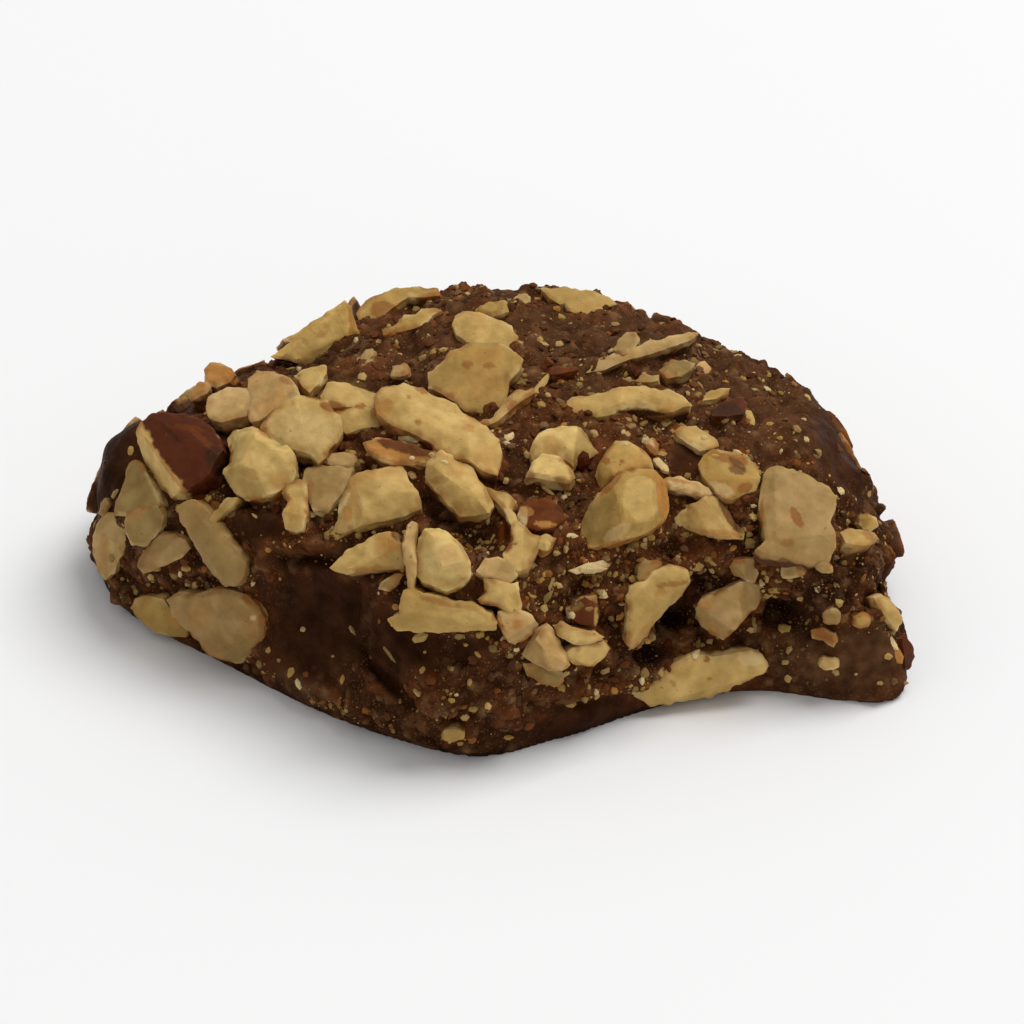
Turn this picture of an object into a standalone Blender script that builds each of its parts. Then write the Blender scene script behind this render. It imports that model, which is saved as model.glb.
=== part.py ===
"""English toffee: one chocolate-coated lump of toffee rolled in chopped almonds.

The lump is a pebble with a flat base, turned from stations that go round its foot. Its steep front
corner points to -Y, and a low foot runs out to the right. The almonds are laid out on a face drawing
that looks down on the front, and are pressed on to the lump along the drawing's lines of sight. The
sides that the drawing doesn't show carry almonds scattered by a seeded rule. All of it is one solid.

Frame: +X along the width, +Z up, origin on the table under the middle of the lump.
"""

import math
import random

import bmesh
import bpy
from mathutils import Matrix, Vector, noise
from mathutils.bvhtree import BVHTree

MM = 0.001

# Driving dimensions of the lump, in millimetres.
CROWN_HEIGHT = 16.6
BASE_SHARE = 0.965
TUCK_POWER = 7
DOME_POWER = 2.3
DOME_ROUND = 0.60
SEGMENTS = 56
BASE_RINGS = 2
WALL_RINGS = 7
DOME_RINGS = 14
RINGS = BASE_RINGS + WALL_RINGS + DOME_RINGS
BASE_END = BASE_RINGS / RINGS
WALL_END = (BASE_RINGS + WALL_RINGS) / RINGS
NORMAL_STEP = 0.005

# Going round the foot from the front corner: foot x, foot y, shoulder height, shoulder set in.
STATIONS = (
    (-2.6, -20.2, 10.4, 1.3),
    (3.8, -18.2, 10.0, 1.2),
    (10.8, -14.5, 9.2, 1.2),
    (17.2, -12.5, 8.6, 2.0),
    (23.8, -13.7, 5.6, 2.0),
    (27.6, -13.5, 4.6, 1.8),
    (28.3, -10.2, 5.0, 1.6),
    (26.3, -5.9, 6.6, 1.5),
    (27.4, -0.8, 9.0, 1.2),
    (25.4, 6.0, 8.8, 1.6),
    (20.2, 13.6, 8.6, 2.0),
    (11.5, 19.8, 9.6, 2.0),
    (0.5, 21.9, 10.2, 2.0),
    (-9.8, 19.8, 9.8, 2.0),
    (-19.4, 14.6, 9.4, 2.0),
    (-26.8, 8.4, 9.0, 1.8),
    (-29.2, 2.4, 8.6, 1.2),
    (-27.0, -3.1, 8.5, 1.0),
    (-20.0, -9.3, 9.6, 1.0),
    (-11.7, -15.9, 10.8, 1.0),
)

# The face drawing: a square of 1024 units seen from above the front.
DRAWING_UNIT = 0.07
DRAWING_MIDDLE = 512
DRAWING_TILT = math.radians(35)
ORIGIN_COLUMN = 505
ORIGIN_ROW = 588
EYE_DISTANCE = 500.0

# Humps and hollows on the face: column, row, half length, half width, turn, height.
FACE_RELIEF = {
    "pit_between_chips": (700, 612, 2.3, 1.6, 62, -2.3),
    "pit_below": (662, 650, 1.8, 1.3, 20, -1.3),
    "hollow_over_the_foot": (795, 612, 2.8, 1.8, 5, -1.3),
    "smooth_face": (318, 610, 5.6, 4.4, 60, -1.0),
    "crack": (385, 672, 3.9, 0.7, -52, -1.3),
    "front_lump": (480, 690, 4.6, 3.2, -8, 0.9),
    "upper_groove": (640, 366, 4.6, 0.8, 14, -1.5),
    "back_bump": (496, 296, 2.6, 1.2, 0, 0.8),
    "back_saddle": (728, 352, 2.2, 2.4, 60, -1.6),
    "right_notch": (884, 592, 1.9, 1.3, 10, -1.2),
    "rim": (330, 522, 5.0, 0.9, 3, 0.7),
    "left_shoulder": (275, 420, 5.5, 4.0, 0, 0.8),
    "dark_gap": (460, 535, 2.6, 1.2, 0, -1.2),
}
FEATURE_EDGE = 2.8
FEATURES_FROM_FACING = 0.1
FEATURES_FULL_FACING = 0.6
COARSE_LUMPS = (6.5, 0.75)
FINE_LUMPS = (2.6, 0.40)
LUMP_SEED = Vector((31.0, 7.0, 19.0))
RELIEF_STARTS_OVER = 0.06
LOWEST_WALL = 0.02

# Each kind of chopped almond: squareness of its outline, taper, bow, roughness, top inset, corners.
CHIP_KINDS = {
    "slab": (3.6, 0.12, 0.00, 0.10, 0.22, 7),
    "slice": (2.2, 0.35, 0.22, 0.05, 0.20, 9),
    "wedge": (2.6, 0.80, 0.00, 0.10, 0.20, 6),
    "brick": (5.0, 0.05, 0.00, 0.05, 0.15, 8),
    "plank": (3.0, 0.35, 0.05, 0.07, 0.22, 8),
    "lens": (1.7, 0.10, 0.12, 0.05, 0.22, 8),
    "sliver": (2.6, 0.30, 0.10, 0.06, 0.15, 6),
    "nugget": (2.3, 0.10, 0.00, 0.12, 0.40, 7),
    "club": (2.6, -0.45, 0.12, 0.06, 0.25, 7),
    "moon": (2.2, 0.20, 0.55, 0.05, 0.25, 7),
    "shard": (1.8, 0.45, 0.00, 0.20, 0.15, 5),
}

# The almonds of the face drawing: column, row, length, width, turn, kind, rise, how far each faces out.
FACE_CHIPS = {
    "edge_tip": (222, 379, 2.3, 1.8, 20, "nugget", 0.6, 0.3),
    "edge_tip_low": (200, 393, 1.8, 1.1, 32, "nugget", 0.4, 0.2),
    "standing_wedge": (314, 339, 6.1, 3.9, 203, "wedge", 0.9, 0.9),
    "back_left_slab": (401, 310, 5.2, 2.5, 8, "slab", 0.6, 0.4),
    "back_left_bit": (414, 329, 2.8, 1.0, 8, "sliver", 0.4, 0.2),
    "small_grey": (369, 360, 1.7, 0.9, 60, "nugget", 0.4, 0.1),
    "small_wedge": (313, 382, 1.9, 1.6, -100, "wedge", 0.6, 0.2),
    "small_round": (400, 373, 1.3, 1.1, 0, "nugget", 0.4, 0.1),
    "pink_block": (234, 409, 3.3, 2.5, 12, "slab", 0.8, 0.1),
    "orange_block": (273, 395, 4.4, 2.9, -12, "slab", 1.1, 0.1),
    "cream_diamond": (305, 428, 6.0, 3.9, -10, "lens", 1.3, 0.1),
    "cauliflower": (262, 462, 4.9, 4.6, 20, "nugget", 1.6, 0.1),
    "spotted_block": (353, 400, 5.0, 2.2, -10, "slab", 0.9, 0.1),
    "cream_strip": (352, 430, 4.7, 2.0, 14, "slab", 0.8, 0.1),
    "long_leaf": (442, 432, 9.7, 3.1, -37, "plank", 1.1, 0.1),
    "tooth": (456, 484, 5.0, 3.2, -42, "nugget", 1.2, 0.2),
    "round_flake": (474, 386, 6.3, 4.1, -5, "slab", 1.2, 0.3),
    "pale_block": (484, 333, 4.1, 2.4, -23, "slab", 0.9, 0.3),
    "back_middle": (494, 311, 2.4, 1.2, 0, "nugget", 0.6, 0.2),
    "back_grey": (522, 302, 1.4, 1.2, 0, "nugget", 0.4, 0.2),
    "back_long": (584, 307, 6.4, 2.3, -20, "slab", 0.7, 0.4),
    "upper_pale": (621, 346, 1.8, 1.2, 30, "nugget", 0.4, 0.1),
    "upper_sliver": (640, 357, 7.0, 0.9, 14, "sliver", 0.7, 0.3),
    "upper_sliver_root": (563, 373, 2.3, 0.8, 8, "wedge", 0.4, 0.1),
    "upper_olive": (648, 382, 1.7, 0.9, 0, "slab", 0.4, 0.1),
    "middle_sliver": (627, 405, 8.1, 1.5, 2, "sliver", 0.9, 0.2),
    "tail_flake": (679, 374, 2.3, 1.3, 18, "slab", 0.6, 0.2),
    "tail_flake_bit": (703, 370, 1.2, 0.9, 0, "nugget", 0.4, 0.2),
    "stripe": (713, 400, 2.3, 1.0, 18, "slab", 0.5, 0.1),
    "red_block": (737, 411, 2.3, 1.7, 10, "slab", 0.6, 0.1),
    "crossing_sliver": (514, 408, 6.0, 0.8, 42, "sliver", 0.8, 0.2),
    "bright_nugget": (561, 444, 4.4, 3.1, -14, "nugget", 1.4, 0.1),
    "bright_moon": (552, 472, 2.9, 1.9, -24, "moon", 1.0, 0.3),
    "olive_back": (627, 462, 4.2, 2.7, 0, "moon", 1.0, 0.3),
    "pale_oval": (652, 448, 1.1, 0.7, -50, "nugget", 0.4, 0.1),
    "pale_shard": (661, 467, 1.3, 0.6, -50, "shard", 0.4, 0.1),
    "big_nugget": (623, 510, 5.8, 4.7, 36, "nugget", 1.9, 0.1),
    "thin_pale": (683, 487, 3.0, 0.8, -14, "sliver", 0.8, 0.2),
    "upper_small": (699, 443, 2.6, 1.4, -22, "slab", 0.7, 0.2),
    "olive_flake": (730, 477, 4.3, 2.9, -10, "slab", 0.8, 0.1),
    "skin_wedge": (712, 521, 4.6, 2.5, 172, "wedge", 1.1, 0.1),
    "pale_slab": (796, 514, 4.9, 5.8, 2, "slab", 1.1, 0.2),
    "right_hook": (859, 541, 2.9, 1.5, -6, "slab", 0.7, 0.2),
    "hook_top": (866, 523, 1.2, 1.3, 0, "nugget", 0.5, 0.2),
    "skin_block": (181, 458, 4.7, 4.0, -57, "brick", 1.7, 0.1),
    "left_upper_bit": (109, 503, 1.7, 0.7, 62, "sliver", 0.4, 0.1),
    "left_olive": (139, 494, 3.5, 2.6, 80, "wedge", 0.9, 0.1),
    "left_olive_low": (147, 530, 2.3, 2.1, 80, "slab", 0.7, 0.1),
    "left_small": (165, 552, 3.2, 2.1, 14, "slab", 0.8, 0.1),
    "left_club": (213, 546, 6.6, 2.0, -54, "club", 1.1, 0.1),
    "left_edge": (112, 547, 4.2, 2.0, 98, "slab", 0.6, 0.2),
    "left_sliver": (225, 510, 2.1, 0.8, 45, "sliver", 0.6, 0.1),
    "jagged": (297, 511, 3.8, 2.0, 66, "shard", 0.9, 0.2),
    "grey_slab": (331, 494, 3.9, 3.6, 5, "slab", 0.8, 0.1),
    "bright_slab": (378, 501, 6.1, 2.9, 24, "slab", 1.3, 0.2),
    "half_moon": (341, 461, 2.1, 1.0, -12, "moon", 0.7, 0.2),
    "skin_strip": (397, 454, 4.7, 1.8, -20, "lens", 1.0, 0.3),
    "cream_wedge": (376, 556, 5.0, 2.6, 202, "wedge", 1.2, 0.2),
    "small_triangle": (391, 578, 1.7, 1.2, 30, "wedge", 0.5, 0.1),
    "upright_sliver": (410, 557, 4.7, 0.8, 90, "sliver", 1.2, 0.3),
    "cream_nugget": (446, 560, 4.1, 3.7, -60, "nugget", 1.4, 0.2),
    "wide_slab": (446, 612, 7.1, 2.4, -4, "slab", 1.4, 0.3),
    "long_strip": (515, 538, 5.7, 1.9, -70, "slab", 0.9, 0.1),
    "strip_foot": (542, 545, 2.3, 1.7, -25, "nugget", 0.8, 0.1),
    "amber_bit": (542, 516, 2.8, 1.7, 5, "slab", 0.9, 0.1),
    "small_cream": (497, 570, 2.7, 1.9, 10, "slab", 0.9, 0.1),
    "grey_cream": (501, 593, 2.7, 2.0, -32, "slab", 0.9, 0.2),
    "point_down": (516, 623, 2.5, 2.1, -75, "wedge", 1.1, 0.3),
    "stacked_lump": (543, 650, 3.2, 2.4, -12, "nugget", 1.2, 0.2),
    "olive_under": (543, 674, 2.4, 0.9, -15, "slab", 0.5, 0.2),
    "olive_over": (586, 603, 1.6, 1.0, 20, "slab", 0.5, 0.1),
    "amber_block": (582, 614, 1.6, 1.3, 0, "slab", 0.6, 0.2),
    "bright_bit_top": (578, 635, 3.0, 1.2, -20, "shard", 1.0, 0.3),
    "bright_bit_low": (587, 652, 3.1, 1.4, 9, "slab", 1.1, 0.2),
    "bright_shard": (598, 567, 2.4, 0.8, -4, "shard", 0.5, 0.2),
    "bright_leaf": (655, 600, 6.3, 2.5, 48, "lens", 1.4, 0.4),
    "shadow_block": (728, 609, 4.4, 3.2, 15, "slab", 1.6, 0.3),
    "low_leaf": (702, 678, 9.2, 2.9, 14, "lens", 1.2, 0.3),
    "round_slice": (220, 625, 6.6, 4.7, 165, "slice", 1.1, 0.2),
    "behind_slice": (160, 615, 4.1, 2.3, -24, "slab", 0.7, 0.2),
    "faint_flake": (744, 570, 2.1, 1.4, 0, "slab", 0.5, 0.1),
    "right_bit": (793, 571, 1.7, 0.9, 5, "slab", 0.4, 0.1),
    "right_bit_far": (824, 567, 1.2, 0.9, -15, "nugget", 0.4, 0.1),
    "grey_chip": (648, 570, 1.8, 1.4, 20, "slab", 0.6, 0.1),
    "notch_edge": (885, 606, 2.3, 1.0, -52, "moon", 0.5, 0.2),
    "foot_skin": (903, 650, 2.0, 0.9, -74, "slab", 0.4, 0.2),
    "foot_olive": (832, 616, 1.3, 1.2, 0, "nugget", 0.5, 0.1),
    "foot_pale": (861, 620, 1.2, 1.1, 20, "nugget", 0.5, 0.1),
    "foot_amber": (824, 632, 1.9, 1.5, -20, "slab", 0.5, 0.1),
    "foot_white": (828, 662, 1.4, 0.9, 0, "nugget", 0.5, 0.1),
    "corner_crumb": (453, 733, 1.5, 0.9, 8, "nugget", 0.4, 0.1),
}
SMALL_CHIP = 2.5
SMALL_CORNERS = 5
CHIP_SINK = 1.1
CHIP_FOOT_SHARE = 0.85
CHIP_CLEARANCE = 0.3
CORNER_SHIFT = 0.25
TOP_TILT = 0.12
WIDEST_CHAMFER = 0.55
NARROWEST_TOP = 0.25
CHAMFER_RISE = 0.45
NORMAL_PATCH = 2.6
LONGEST_STRETCH = 1.45
STEEPEST_SIGHT = 0.55

# Almonds on the sides that the drawing doesn't show.
SCATTER_SEED = 11
SCATTER_COUNT = 66
SCATTER_TRIES = 4000
SCATTER_GAP = 0.86
SCATTER_KINDS = ("slab", "brick", "nugget", "lens", "wedge", "sliver", "shard", "moon")
SCATTER_CLIMB = (0.15, 0.97)
SCATTER_OVER_TABLE = 0.6
SCATTER_LENGTH = (2.4, 6.4)
SCATTER_WIDTH = (0.45, 0.8)
SLIVER_WIDTH = 0.24
SCATTER_RISE = (0.4, 1.0)
SCATTER_LOW_RISE = 0.15
SCATTER_LIMIT = 0.0
SCATTER_FADE = 0.7
BARE_TIP = 24.5

CHOCOLATE_COLOUR = (0.055, 0.022, 0.010, 1.0)
ALMOND_COLOUR = (0.50, 0.33, 0.13, 1.0)

LINE_OF_SIGHT = Vector((0.0, math.cos(DRAWING_TILT), -math.sin(DRAWING_TILT)))
DRAWING_RIGHT = Vector((1.0, 0.0, 0.0))
DRAWING_UP = Vector((0.0, math.sin(DRAWING_TILT), math.cos(DRAWING_TILT)))
DRAWING_CENTRE = (
    DRAWING_RIGHT * (DRAWING_MIDDLE - ORIGIN_COLUMN) * DRAWING_UNIT
    + DRAWING_UP * (ORIGIN_ROW - DRAWING_MIDDLE) * DRAWING_UNIT
)
EYE = DRAWING_CENTRE - LINE_OF_SIGHT * EYE_DISTANCE


def clear_scene():
    for thing in list(bpy.data.objects):
        bpy.data.objects.remove(thing, do_unlink=True)


def make_material(name, colour, roughness):
    material = bpy.data.materials.new(name)
    material.use_nodes = True
    shader = material.node_tree.nodes["Principled BSDF"]
    shader.inputs["Base Color"].default_value = colour
    shader.inputs["Roughness"].default_value = roughness
    shader.inputs["Metallic"].default_value = 0.0
    material.diffuse_color = colour
    return material


def mesh_object(name, mesh, collection):
    made = bpy.data.objects.new(name, mesh)
    collection.objects.link(made)
    return made


# ---------------------------------------------------------------- the lump


def station_at(turn):
    """The stations' four values at a share of the way round, on a smooth closed curve through them."""
    place = (turn % 1.0) * len(STATIONS)
    first = int(place)
    step = place - first
    before, start, end, after = (STATIONS[(first + k) % len(STATIONS)] for k in (-1, 0, 1, 2))
    values = []
    for p0, p1, p2, p3 in zip(before, start, end, after):
        slope = (p2 - p0) / 2
        slope_after = (p3 - p1) / 2
        rise = p2 - p1
        values.append(
            p1 + step * (slope + step * ((3 * rise - 2 * slope - slope_after)
                                         + step * (slope + slope_after - 2 * rise)))
        )
    return values


def pebble_point(turn, climb):
    """A point of the smooth lump: turn goes round it, climb from the base's middle to the crown."""
    foot_x, foot_y, shoulder, set_in = station_at(turn)
    reach = math.hypot(foot_x, foot_y)
    outward = Vector((foot_x, foot_y, 0.0)) / reach
    if climb <= BASE_END:
        return outward * reach * BASE_SHARE * climb / BASE_END
    if climb <= WALL_END:
        up = (climb - BASE_END) / (WALL_END - BASE_END)
        tuck = (1 - BASE_SHARE) * (1 - up) ** TUCK_POWER
        return outward * (reach * (1 - tuck) - set_in * up * up) + Vector((0, 0, shoulder * up))
    share = math.sin((1 - climb) / (1 - WALL_END) * math.pi / 2)
    height = shoulder + (CROWN_HEIGHT - shoulder) * (1 - share**DOME_POWER) ** DOME_ROUND
    return outward * (reach - set_in) * share + Vector((0, 0, height))


def pebble_normal(turn, climb):
    low = max(climb - NORMAL_STEP, BASE_END)
    high = min(climb + NORMAL_STEP, 1 - NORMAL_STEP)
    along = pebble_point(turn + NORMAL_STEP, climb) - pebble_point(turn - NORMAL_STEP, climb)
    upward = pebble_point(turn, high) - pebble_point(turn, low)
    return along.cross(upward).normalized()


def on_drawing(point):
    """The column and row of the face drawing where a point is seen."""
    sight = point - EYE
    scale = EYE_DISTANCE / sight.dot(LINE_OF_SIGHT)
    column = DRAWING_MIDDLE + sight.dot(DRAWING_RIGHT) * scale / DRAWING_UNIT
    row = DRAWING_MIDDLE - sight.dot(DRAWING_UP) * scale / DRAWING_UNIT
    return column, row


def facing(point, normal):
    """How squarely a surface faces the drawing's eye, from -1 to 1."""
    return normal.dot((EYE - point).normalized())


def relief(point, normal):
    """How far the surface stands out of the smooth pebble, in millimetres."""
    height = 0.0
    for size, amount in (COARSE_LUMPS, FINE_LUMPS):
        height += amount * noise.noise(point / size + LUMP_SEED)
    shown = (facing(point, normal) - FEATURES_FROM_FACING) / (FEATURES_FULL_FACING - FEATURES_FROM_FACING)
    shown = min(max(shown, 0.0), 1.0)
    if shown > 0:
        column, row = on_drawing(point)
        for middle_column, middle_row, half_long, half_wide, turn, amount in FACE_RELIEF.values():
            across = (column - middle_column) * DRAWING_UNIT
            above = (middle_row - row) * DRAWING_UNIT
            angle = math.radians(turn)
            along = (across * math.cos(angle) + above * math.sin(angle)) / half_long
            beside = (above * math.cos(angle) - across * math.sin(angle)) / half_wide
            height += shown * amount * math.exp(-(math.hypot(along, beside) ** FEATURE_EDGE))
    return height


def surface_point(turn, climb):
    """A point of the finished lump and the pebble's normal there."""
    point = pebble_point(turn, climb)
    if climb <= BASE_END:
        return point, Vector((0, 0, -1))
    normal = pebble_normal(turn, climb)
    settled = min((climb - BASE_END) / RELIEF_STARTS_OVER, 1.0)
    point = point + normal * relief(point, normal) * settled
    point.z = max(point.z, LOWEST_WALL)
    return point, normal


def make_lump(name, material, collection):
    bpy.ops.mesh.primitive_uv_sphere_add(segments=SEGMENTS, ring_count=RINGS, radius=1.0)
    lump = bpy.context.object
    lump.name = name
    lump.data.name = name
    for vertex in lump.data.vertices:
        x, y, z = vertex.co
        turn = math.atan2(y, x) / math.tau
        ring = round(RINGS * (0.5 + math.asin(max(-1.0, min(1.0, z))) / math.pi))
        if ring == RINGS:
            vertex.co = pebble_point(0.0, 1.0) * MM
        else:
            vertex.co = surface_point(turn, ring / RINGS)[0] * MM
    lump.data.materials.append(material)
    for owner in list(lump.users_collection):
        owner.objects.unlink(lump)
    collection.objects.link(lump)
    return lump


# ---------------------------------------------------------------- the almonds


def chip_outline(kind, length, width, draw):
    """The outline of a chip, in millimetres, long way along its first axis."""
    squareness, taper, bow, rough, _, corners = CHIP_KINDS[kind]
    if length < SMALL_CHIP:
        corners = SMALL_CORNERS
    points = []
    for k in range(corners):
        angle = math.tau * (k + 0.5 + CORNER_SHIFT * draw.uniform(-1, 1)) / corners
        along = math.copysign(abs(math.cos(angle)) ** (2 / squareness), math.cos(angle)) / 2
        beside = math.copysign(abs(math.sin(angle)) ** (2 / squareness), math.sin(angle)) / 2
        beside = beside * (1 - taper * (along + 0.5)) + bow * (0.25 - along * along)
        wobble = 1 + rough * draw.uniform(-1, 1)
        points.append((along * length * wobble, beside * width * wobble))
    return points


def make_chip(name, point, normal, first_axis, second_axis, kind, size, rise, draw, material, collection):
    """A chip of almond: the convex block round its outline's foot, shoulder and smaller top face."""
    outline = chip_outline(kind, size[0], size[1], draw)
    chamfer = min(CHIP_KINDS[kind][4] * size[1] / 2, WIDEST_CHAMFER)
    top_share = 1 - 2 * chamfer / max(size[1], 2 * chamfer + NARROWEST_TOP)
    levels = (
        (-CHIP_SINK, CHIP_FOOT_SHARE),
        (rise, 1.0),
        (rise + chamfer * CHAMFER_RISE, top_share),
    )
    tilt = draw.uniform(-TOP_TILT, TOP_TILT), draw.uniform(-TOP_TILT, TOP_TILT)
    bm = bmesh.new()
    for height, share in levels:
        for along, beside in outline:
            lift = height + (tilt[0] * along + tilt[1] * beside if height > 0 else 0.0)
            place = point + first_axis * along * share + second_axis * beside * share + normal * lift
            bm.verts.new(place * MM)
    hull = bmesh.ops.convex_hull(bm, input=bm.verts)
    bmesh.ops.delete(bm, geom=hull["geom_interior"], context="VERTS")
    if min(vertex.co.z for vertex in bm.verts) < CHIP_CLEARANCE * MM:
        cut = bmesh.ops.bisect_plane(
            bm, geom=bm.verts[:] + bm.edges[:] + bm.faces[:], clear_inner=True,
            plane_co=(0, 0, CHIP_CLEARANCE * MM), plane_no=(0, 0, 1),
        )
        rim = [edge for edge in cut["geom_cut"] if isinstance(edge, bmesh.types.BMEdge)]
        bmesh.ops.holes_fill(bm, edges=rim)
    bmesh.ops.recalc_face_normals(bm, faces=bm.faces)
    mesh = bpy.data.meshes.new(name)
    bm.to_mesh(mesh)
    bm.free()
    mesh.materials.append(material)
    return mesh_object(name, mesh, collection)


def press_along_sight(direction, normal, sight):
    """A direction of the drawing carried along the line of sight on to the surface."""
    slide = direction.dot(normal) / sight.dot(normal)
    carried = direction - sight * slide
    stretch = carried.length
    return carried * min(stretch, LONGEST_STRETCH) / stretch


def face_chips(lump, material, collection):
    """The almonds of the face drawing, each where its line of sight meets the lump."""
    tree = BVHTree.FromPolygons(
        [vertex.co / MM for vertex in lump.data.vertices],
        [tuple(face.vertices) for face in lump.data.polygons],
    )
    places = []
    for order, (name, row_values) in enumerate(FACE_CHIPS.items()):
        column, row, length, width, turn, kind, rise, outward = row_values
        aim = (
            DRAWING_CENTRE
            + DRAWING_RIGHT * (column - DRAWING_MIDDLE) * DRAWING_UNIT
            + DRAWING_UP * (DRAWING_MIDDLE - row) * DRAWING_UNIT
        )
        sight = (aim - EYE).normalized()
        point, _, _, _ = tree.ray_cast(EYE, sight)
        if point is None:
            near, _, _, _ = tree.find_nearest(aim)
            point = near
        normal = smooth_normal(tree, point)
        normal = (normal * (1 - outward) - sight * outward).normalized()
        slope = min(sight.dot(normal), -STEEPEST_SIGHT)
        point = point - normal * rise + sight * (rise / slope)
        angle = math.radians(turn)
        first = DRAWING_RIGHT * math.cos(angle) + DRAWING_UP * math.sin(angle)
        second = DRAWING_UP * math.cos(angle) - DRAWING_RIGHT * math.sin(angle)
        make_chip(
            name, point, normal,
            press_along_sight(first, normal, sight),
            press_along_sight(second, normal, sight),
            kind, (length, width), rise, random.Random(100 + order), material, collection,
        )
        places.append((point, max(length, width) / 2))
    return places


def smooth_normal(tree, point):
    """The lump's normal over a patch as large as a chip."""
    total = Vector()
    for _, normal, _, distance in tree.find_nearest_range(point, NORMAL_PATCH):
        total += normal * (NORMAL_PATCH - distance)
    return total.normalized()


def scattered_chips(taken, material, collection):
    """Almonds on the sides away from the drawing, clear of each other."""
    draw = random.Random(SCATTER_SEED)
    count = 0
    for _ in range(SCATTER_TRIES):
        if count == SCATTER_COUNT:
            break
        turn = draw.random()
        climb = draw.uniform(*SCATTER_CLIMB)
        length = draw.uniform(*SCATTER_LENGTH)
        kind = draw.choice(SCATTER_KINDS)
        width = length * (SLIVER_WIDTH if kind == "sliver" else draw.uniform(*SCATTER_WIDTH))
        spin = draw.uniform(0, math.tau)
        rise = draw.uniform(*SCATTER_RISE)
        seed = draw.randrange(10**6)
        point, normal = surface_point(turn, climb)
        turned = facing(point, normal)
        low = point.z < width / 2 + SCATTER_OVER_TABLE
        if turned > SCATTER_LIMIT or low or (point.x > BARE_TIP and point.y < 0):
            continue
        clear = min(max((SCATTER_LIMIT - turned) / SCATTER_FADE, 0.0), 1.0)
        rise = SCATTER_LOW_RISE + (rise - SCATTER_LOW_RISE) * clear
        if any((point - other).length < SCATTER_GAP * (length / 2 + reach) for other, reach in taken):
            continue
        side = normal.cross(Vector((0, 0, 1)))
        side = side.normalized() if side.length > NORMAL_STEP else Vector((1, 0, 0))
        first = Matrix.Rotation(spin, 3, normal) @ side
        second = normal.cross(first)
        make_chip(
            f"scattered_{count:02d}", point, normal, first, second,
            kind, (length, width), rise, random.Random(seed), material, collection,
        )
        taken.append((point, length / 2))
        count += 1


def fuse(lump, chips):
    """One union of the lump and all its almonds, applied, with the loose almonds then removed."""
    union = lump.modifiers.new("almonds", "BOOLEAN")
    union.operation = "UNION"
    union.operand_type = "COLLECTION"
    union.collection = chips
    union.solver = "MANIFOLD"
    graph = bpy.context.evaluated_depsgraph_get()
    fused = bpy.data.meshes.new_from_object(lump.evaluated_get(graph))
    lump.modifiers.clear()
    lump.data = fused
    for chip in list(chips.objects):
        bpy.data.objects.remove(chip, do_unlink=True)
    bpy.data.collections.remove(chips)


def keep_outer_skin(lump):
    """Drops every closed skin but the largest, so that a sealed gap between almonds is filled."""
    bm = bmesh.new()
    bm.from_mesh(lump.data)
    waiting = set(bm.verts)
    skins = []
    while waiting:
        reached = [waiting.pop()]
        for vertex in reached:
            for edge in vertex.link_edges:
                other = edge.other_vert(vertex)
                if other in waiting:
                    waiting.remove(other)
                    reached.append(other)
        skins.append(reached)
    skins.sort(key=len)
    for skin in skins[:-1]:
        bmesh.ops.delete(bm, geom=skin, context="VERTS")
    bm.to_mesh(lump.data)
    bm.free()


def centre_on_origin(lump):
    """Moves the lump sideways so that the middle of its width and depth stands on the origin."""
    spots = [vertex.co for vertex in lump.data.vertices]
    shift = Vector((0, 0, 0))
    for axis in (0, 1):
        shift[axis] = -(min(spot[axis] for spot in spots) + max(spot[axis] for spot in spots)) / 2
    lump.data.transform(Matrix.Translation(shift))


def main():
    clear_scene()
    parts = bpy.data.collections.new("english_toffee")
    bpy.context.scene.collection.children.link(parts)
    chips = bpy.data.collections.new("almonds")
    bpy.context.scene.collection.children.link(chips)
    chocolate = make_material("chocolate", CHOCOLATE_COLOUR, 0.45)
    almond = make_material("almond", ALMOND_COLOUR, 0.6)
    lump = make_lump("toffee_piece", chocolate, parts)
    lump.data.materials.append(almond)
    taken = face_chips(lump, almond, chips)
    scattered_chips(taken, almond, chips)
    fuse(lump, chips)
    keep_outer_skin(lump)
    centre_on_origin(lump)


main()
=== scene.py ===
import math
import random

import bpy
import numpy as np
from mathutils import Matrix, Vector, noise
from mathutils.bvhtree import BVHTree
from mathutils.kdtree import KDTree


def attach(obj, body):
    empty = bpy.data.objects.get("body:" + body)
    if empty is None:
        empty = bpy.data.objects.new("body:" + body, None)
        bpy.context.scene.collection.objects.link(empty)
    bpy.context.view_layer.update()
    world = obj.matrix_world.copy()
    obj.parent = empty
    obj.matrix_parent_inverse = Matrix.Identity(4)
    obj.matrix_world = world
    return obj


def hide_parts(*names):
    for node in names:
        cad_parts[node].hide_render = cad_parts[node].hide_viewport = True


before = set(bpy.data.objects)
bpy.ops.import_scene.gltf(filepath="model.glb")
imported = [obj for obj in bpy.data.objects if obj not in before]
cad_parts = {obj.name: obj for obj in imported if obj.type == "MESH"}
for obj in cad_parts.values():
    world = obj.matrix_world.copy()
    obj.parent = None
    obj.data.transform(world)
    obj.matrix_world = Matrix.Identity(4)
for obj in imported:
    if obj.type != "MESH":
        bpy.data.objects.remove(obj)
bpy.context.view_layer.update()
bpy.ops.object.select_all(action="DESELECT")

millimetre = 0.001

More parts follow.
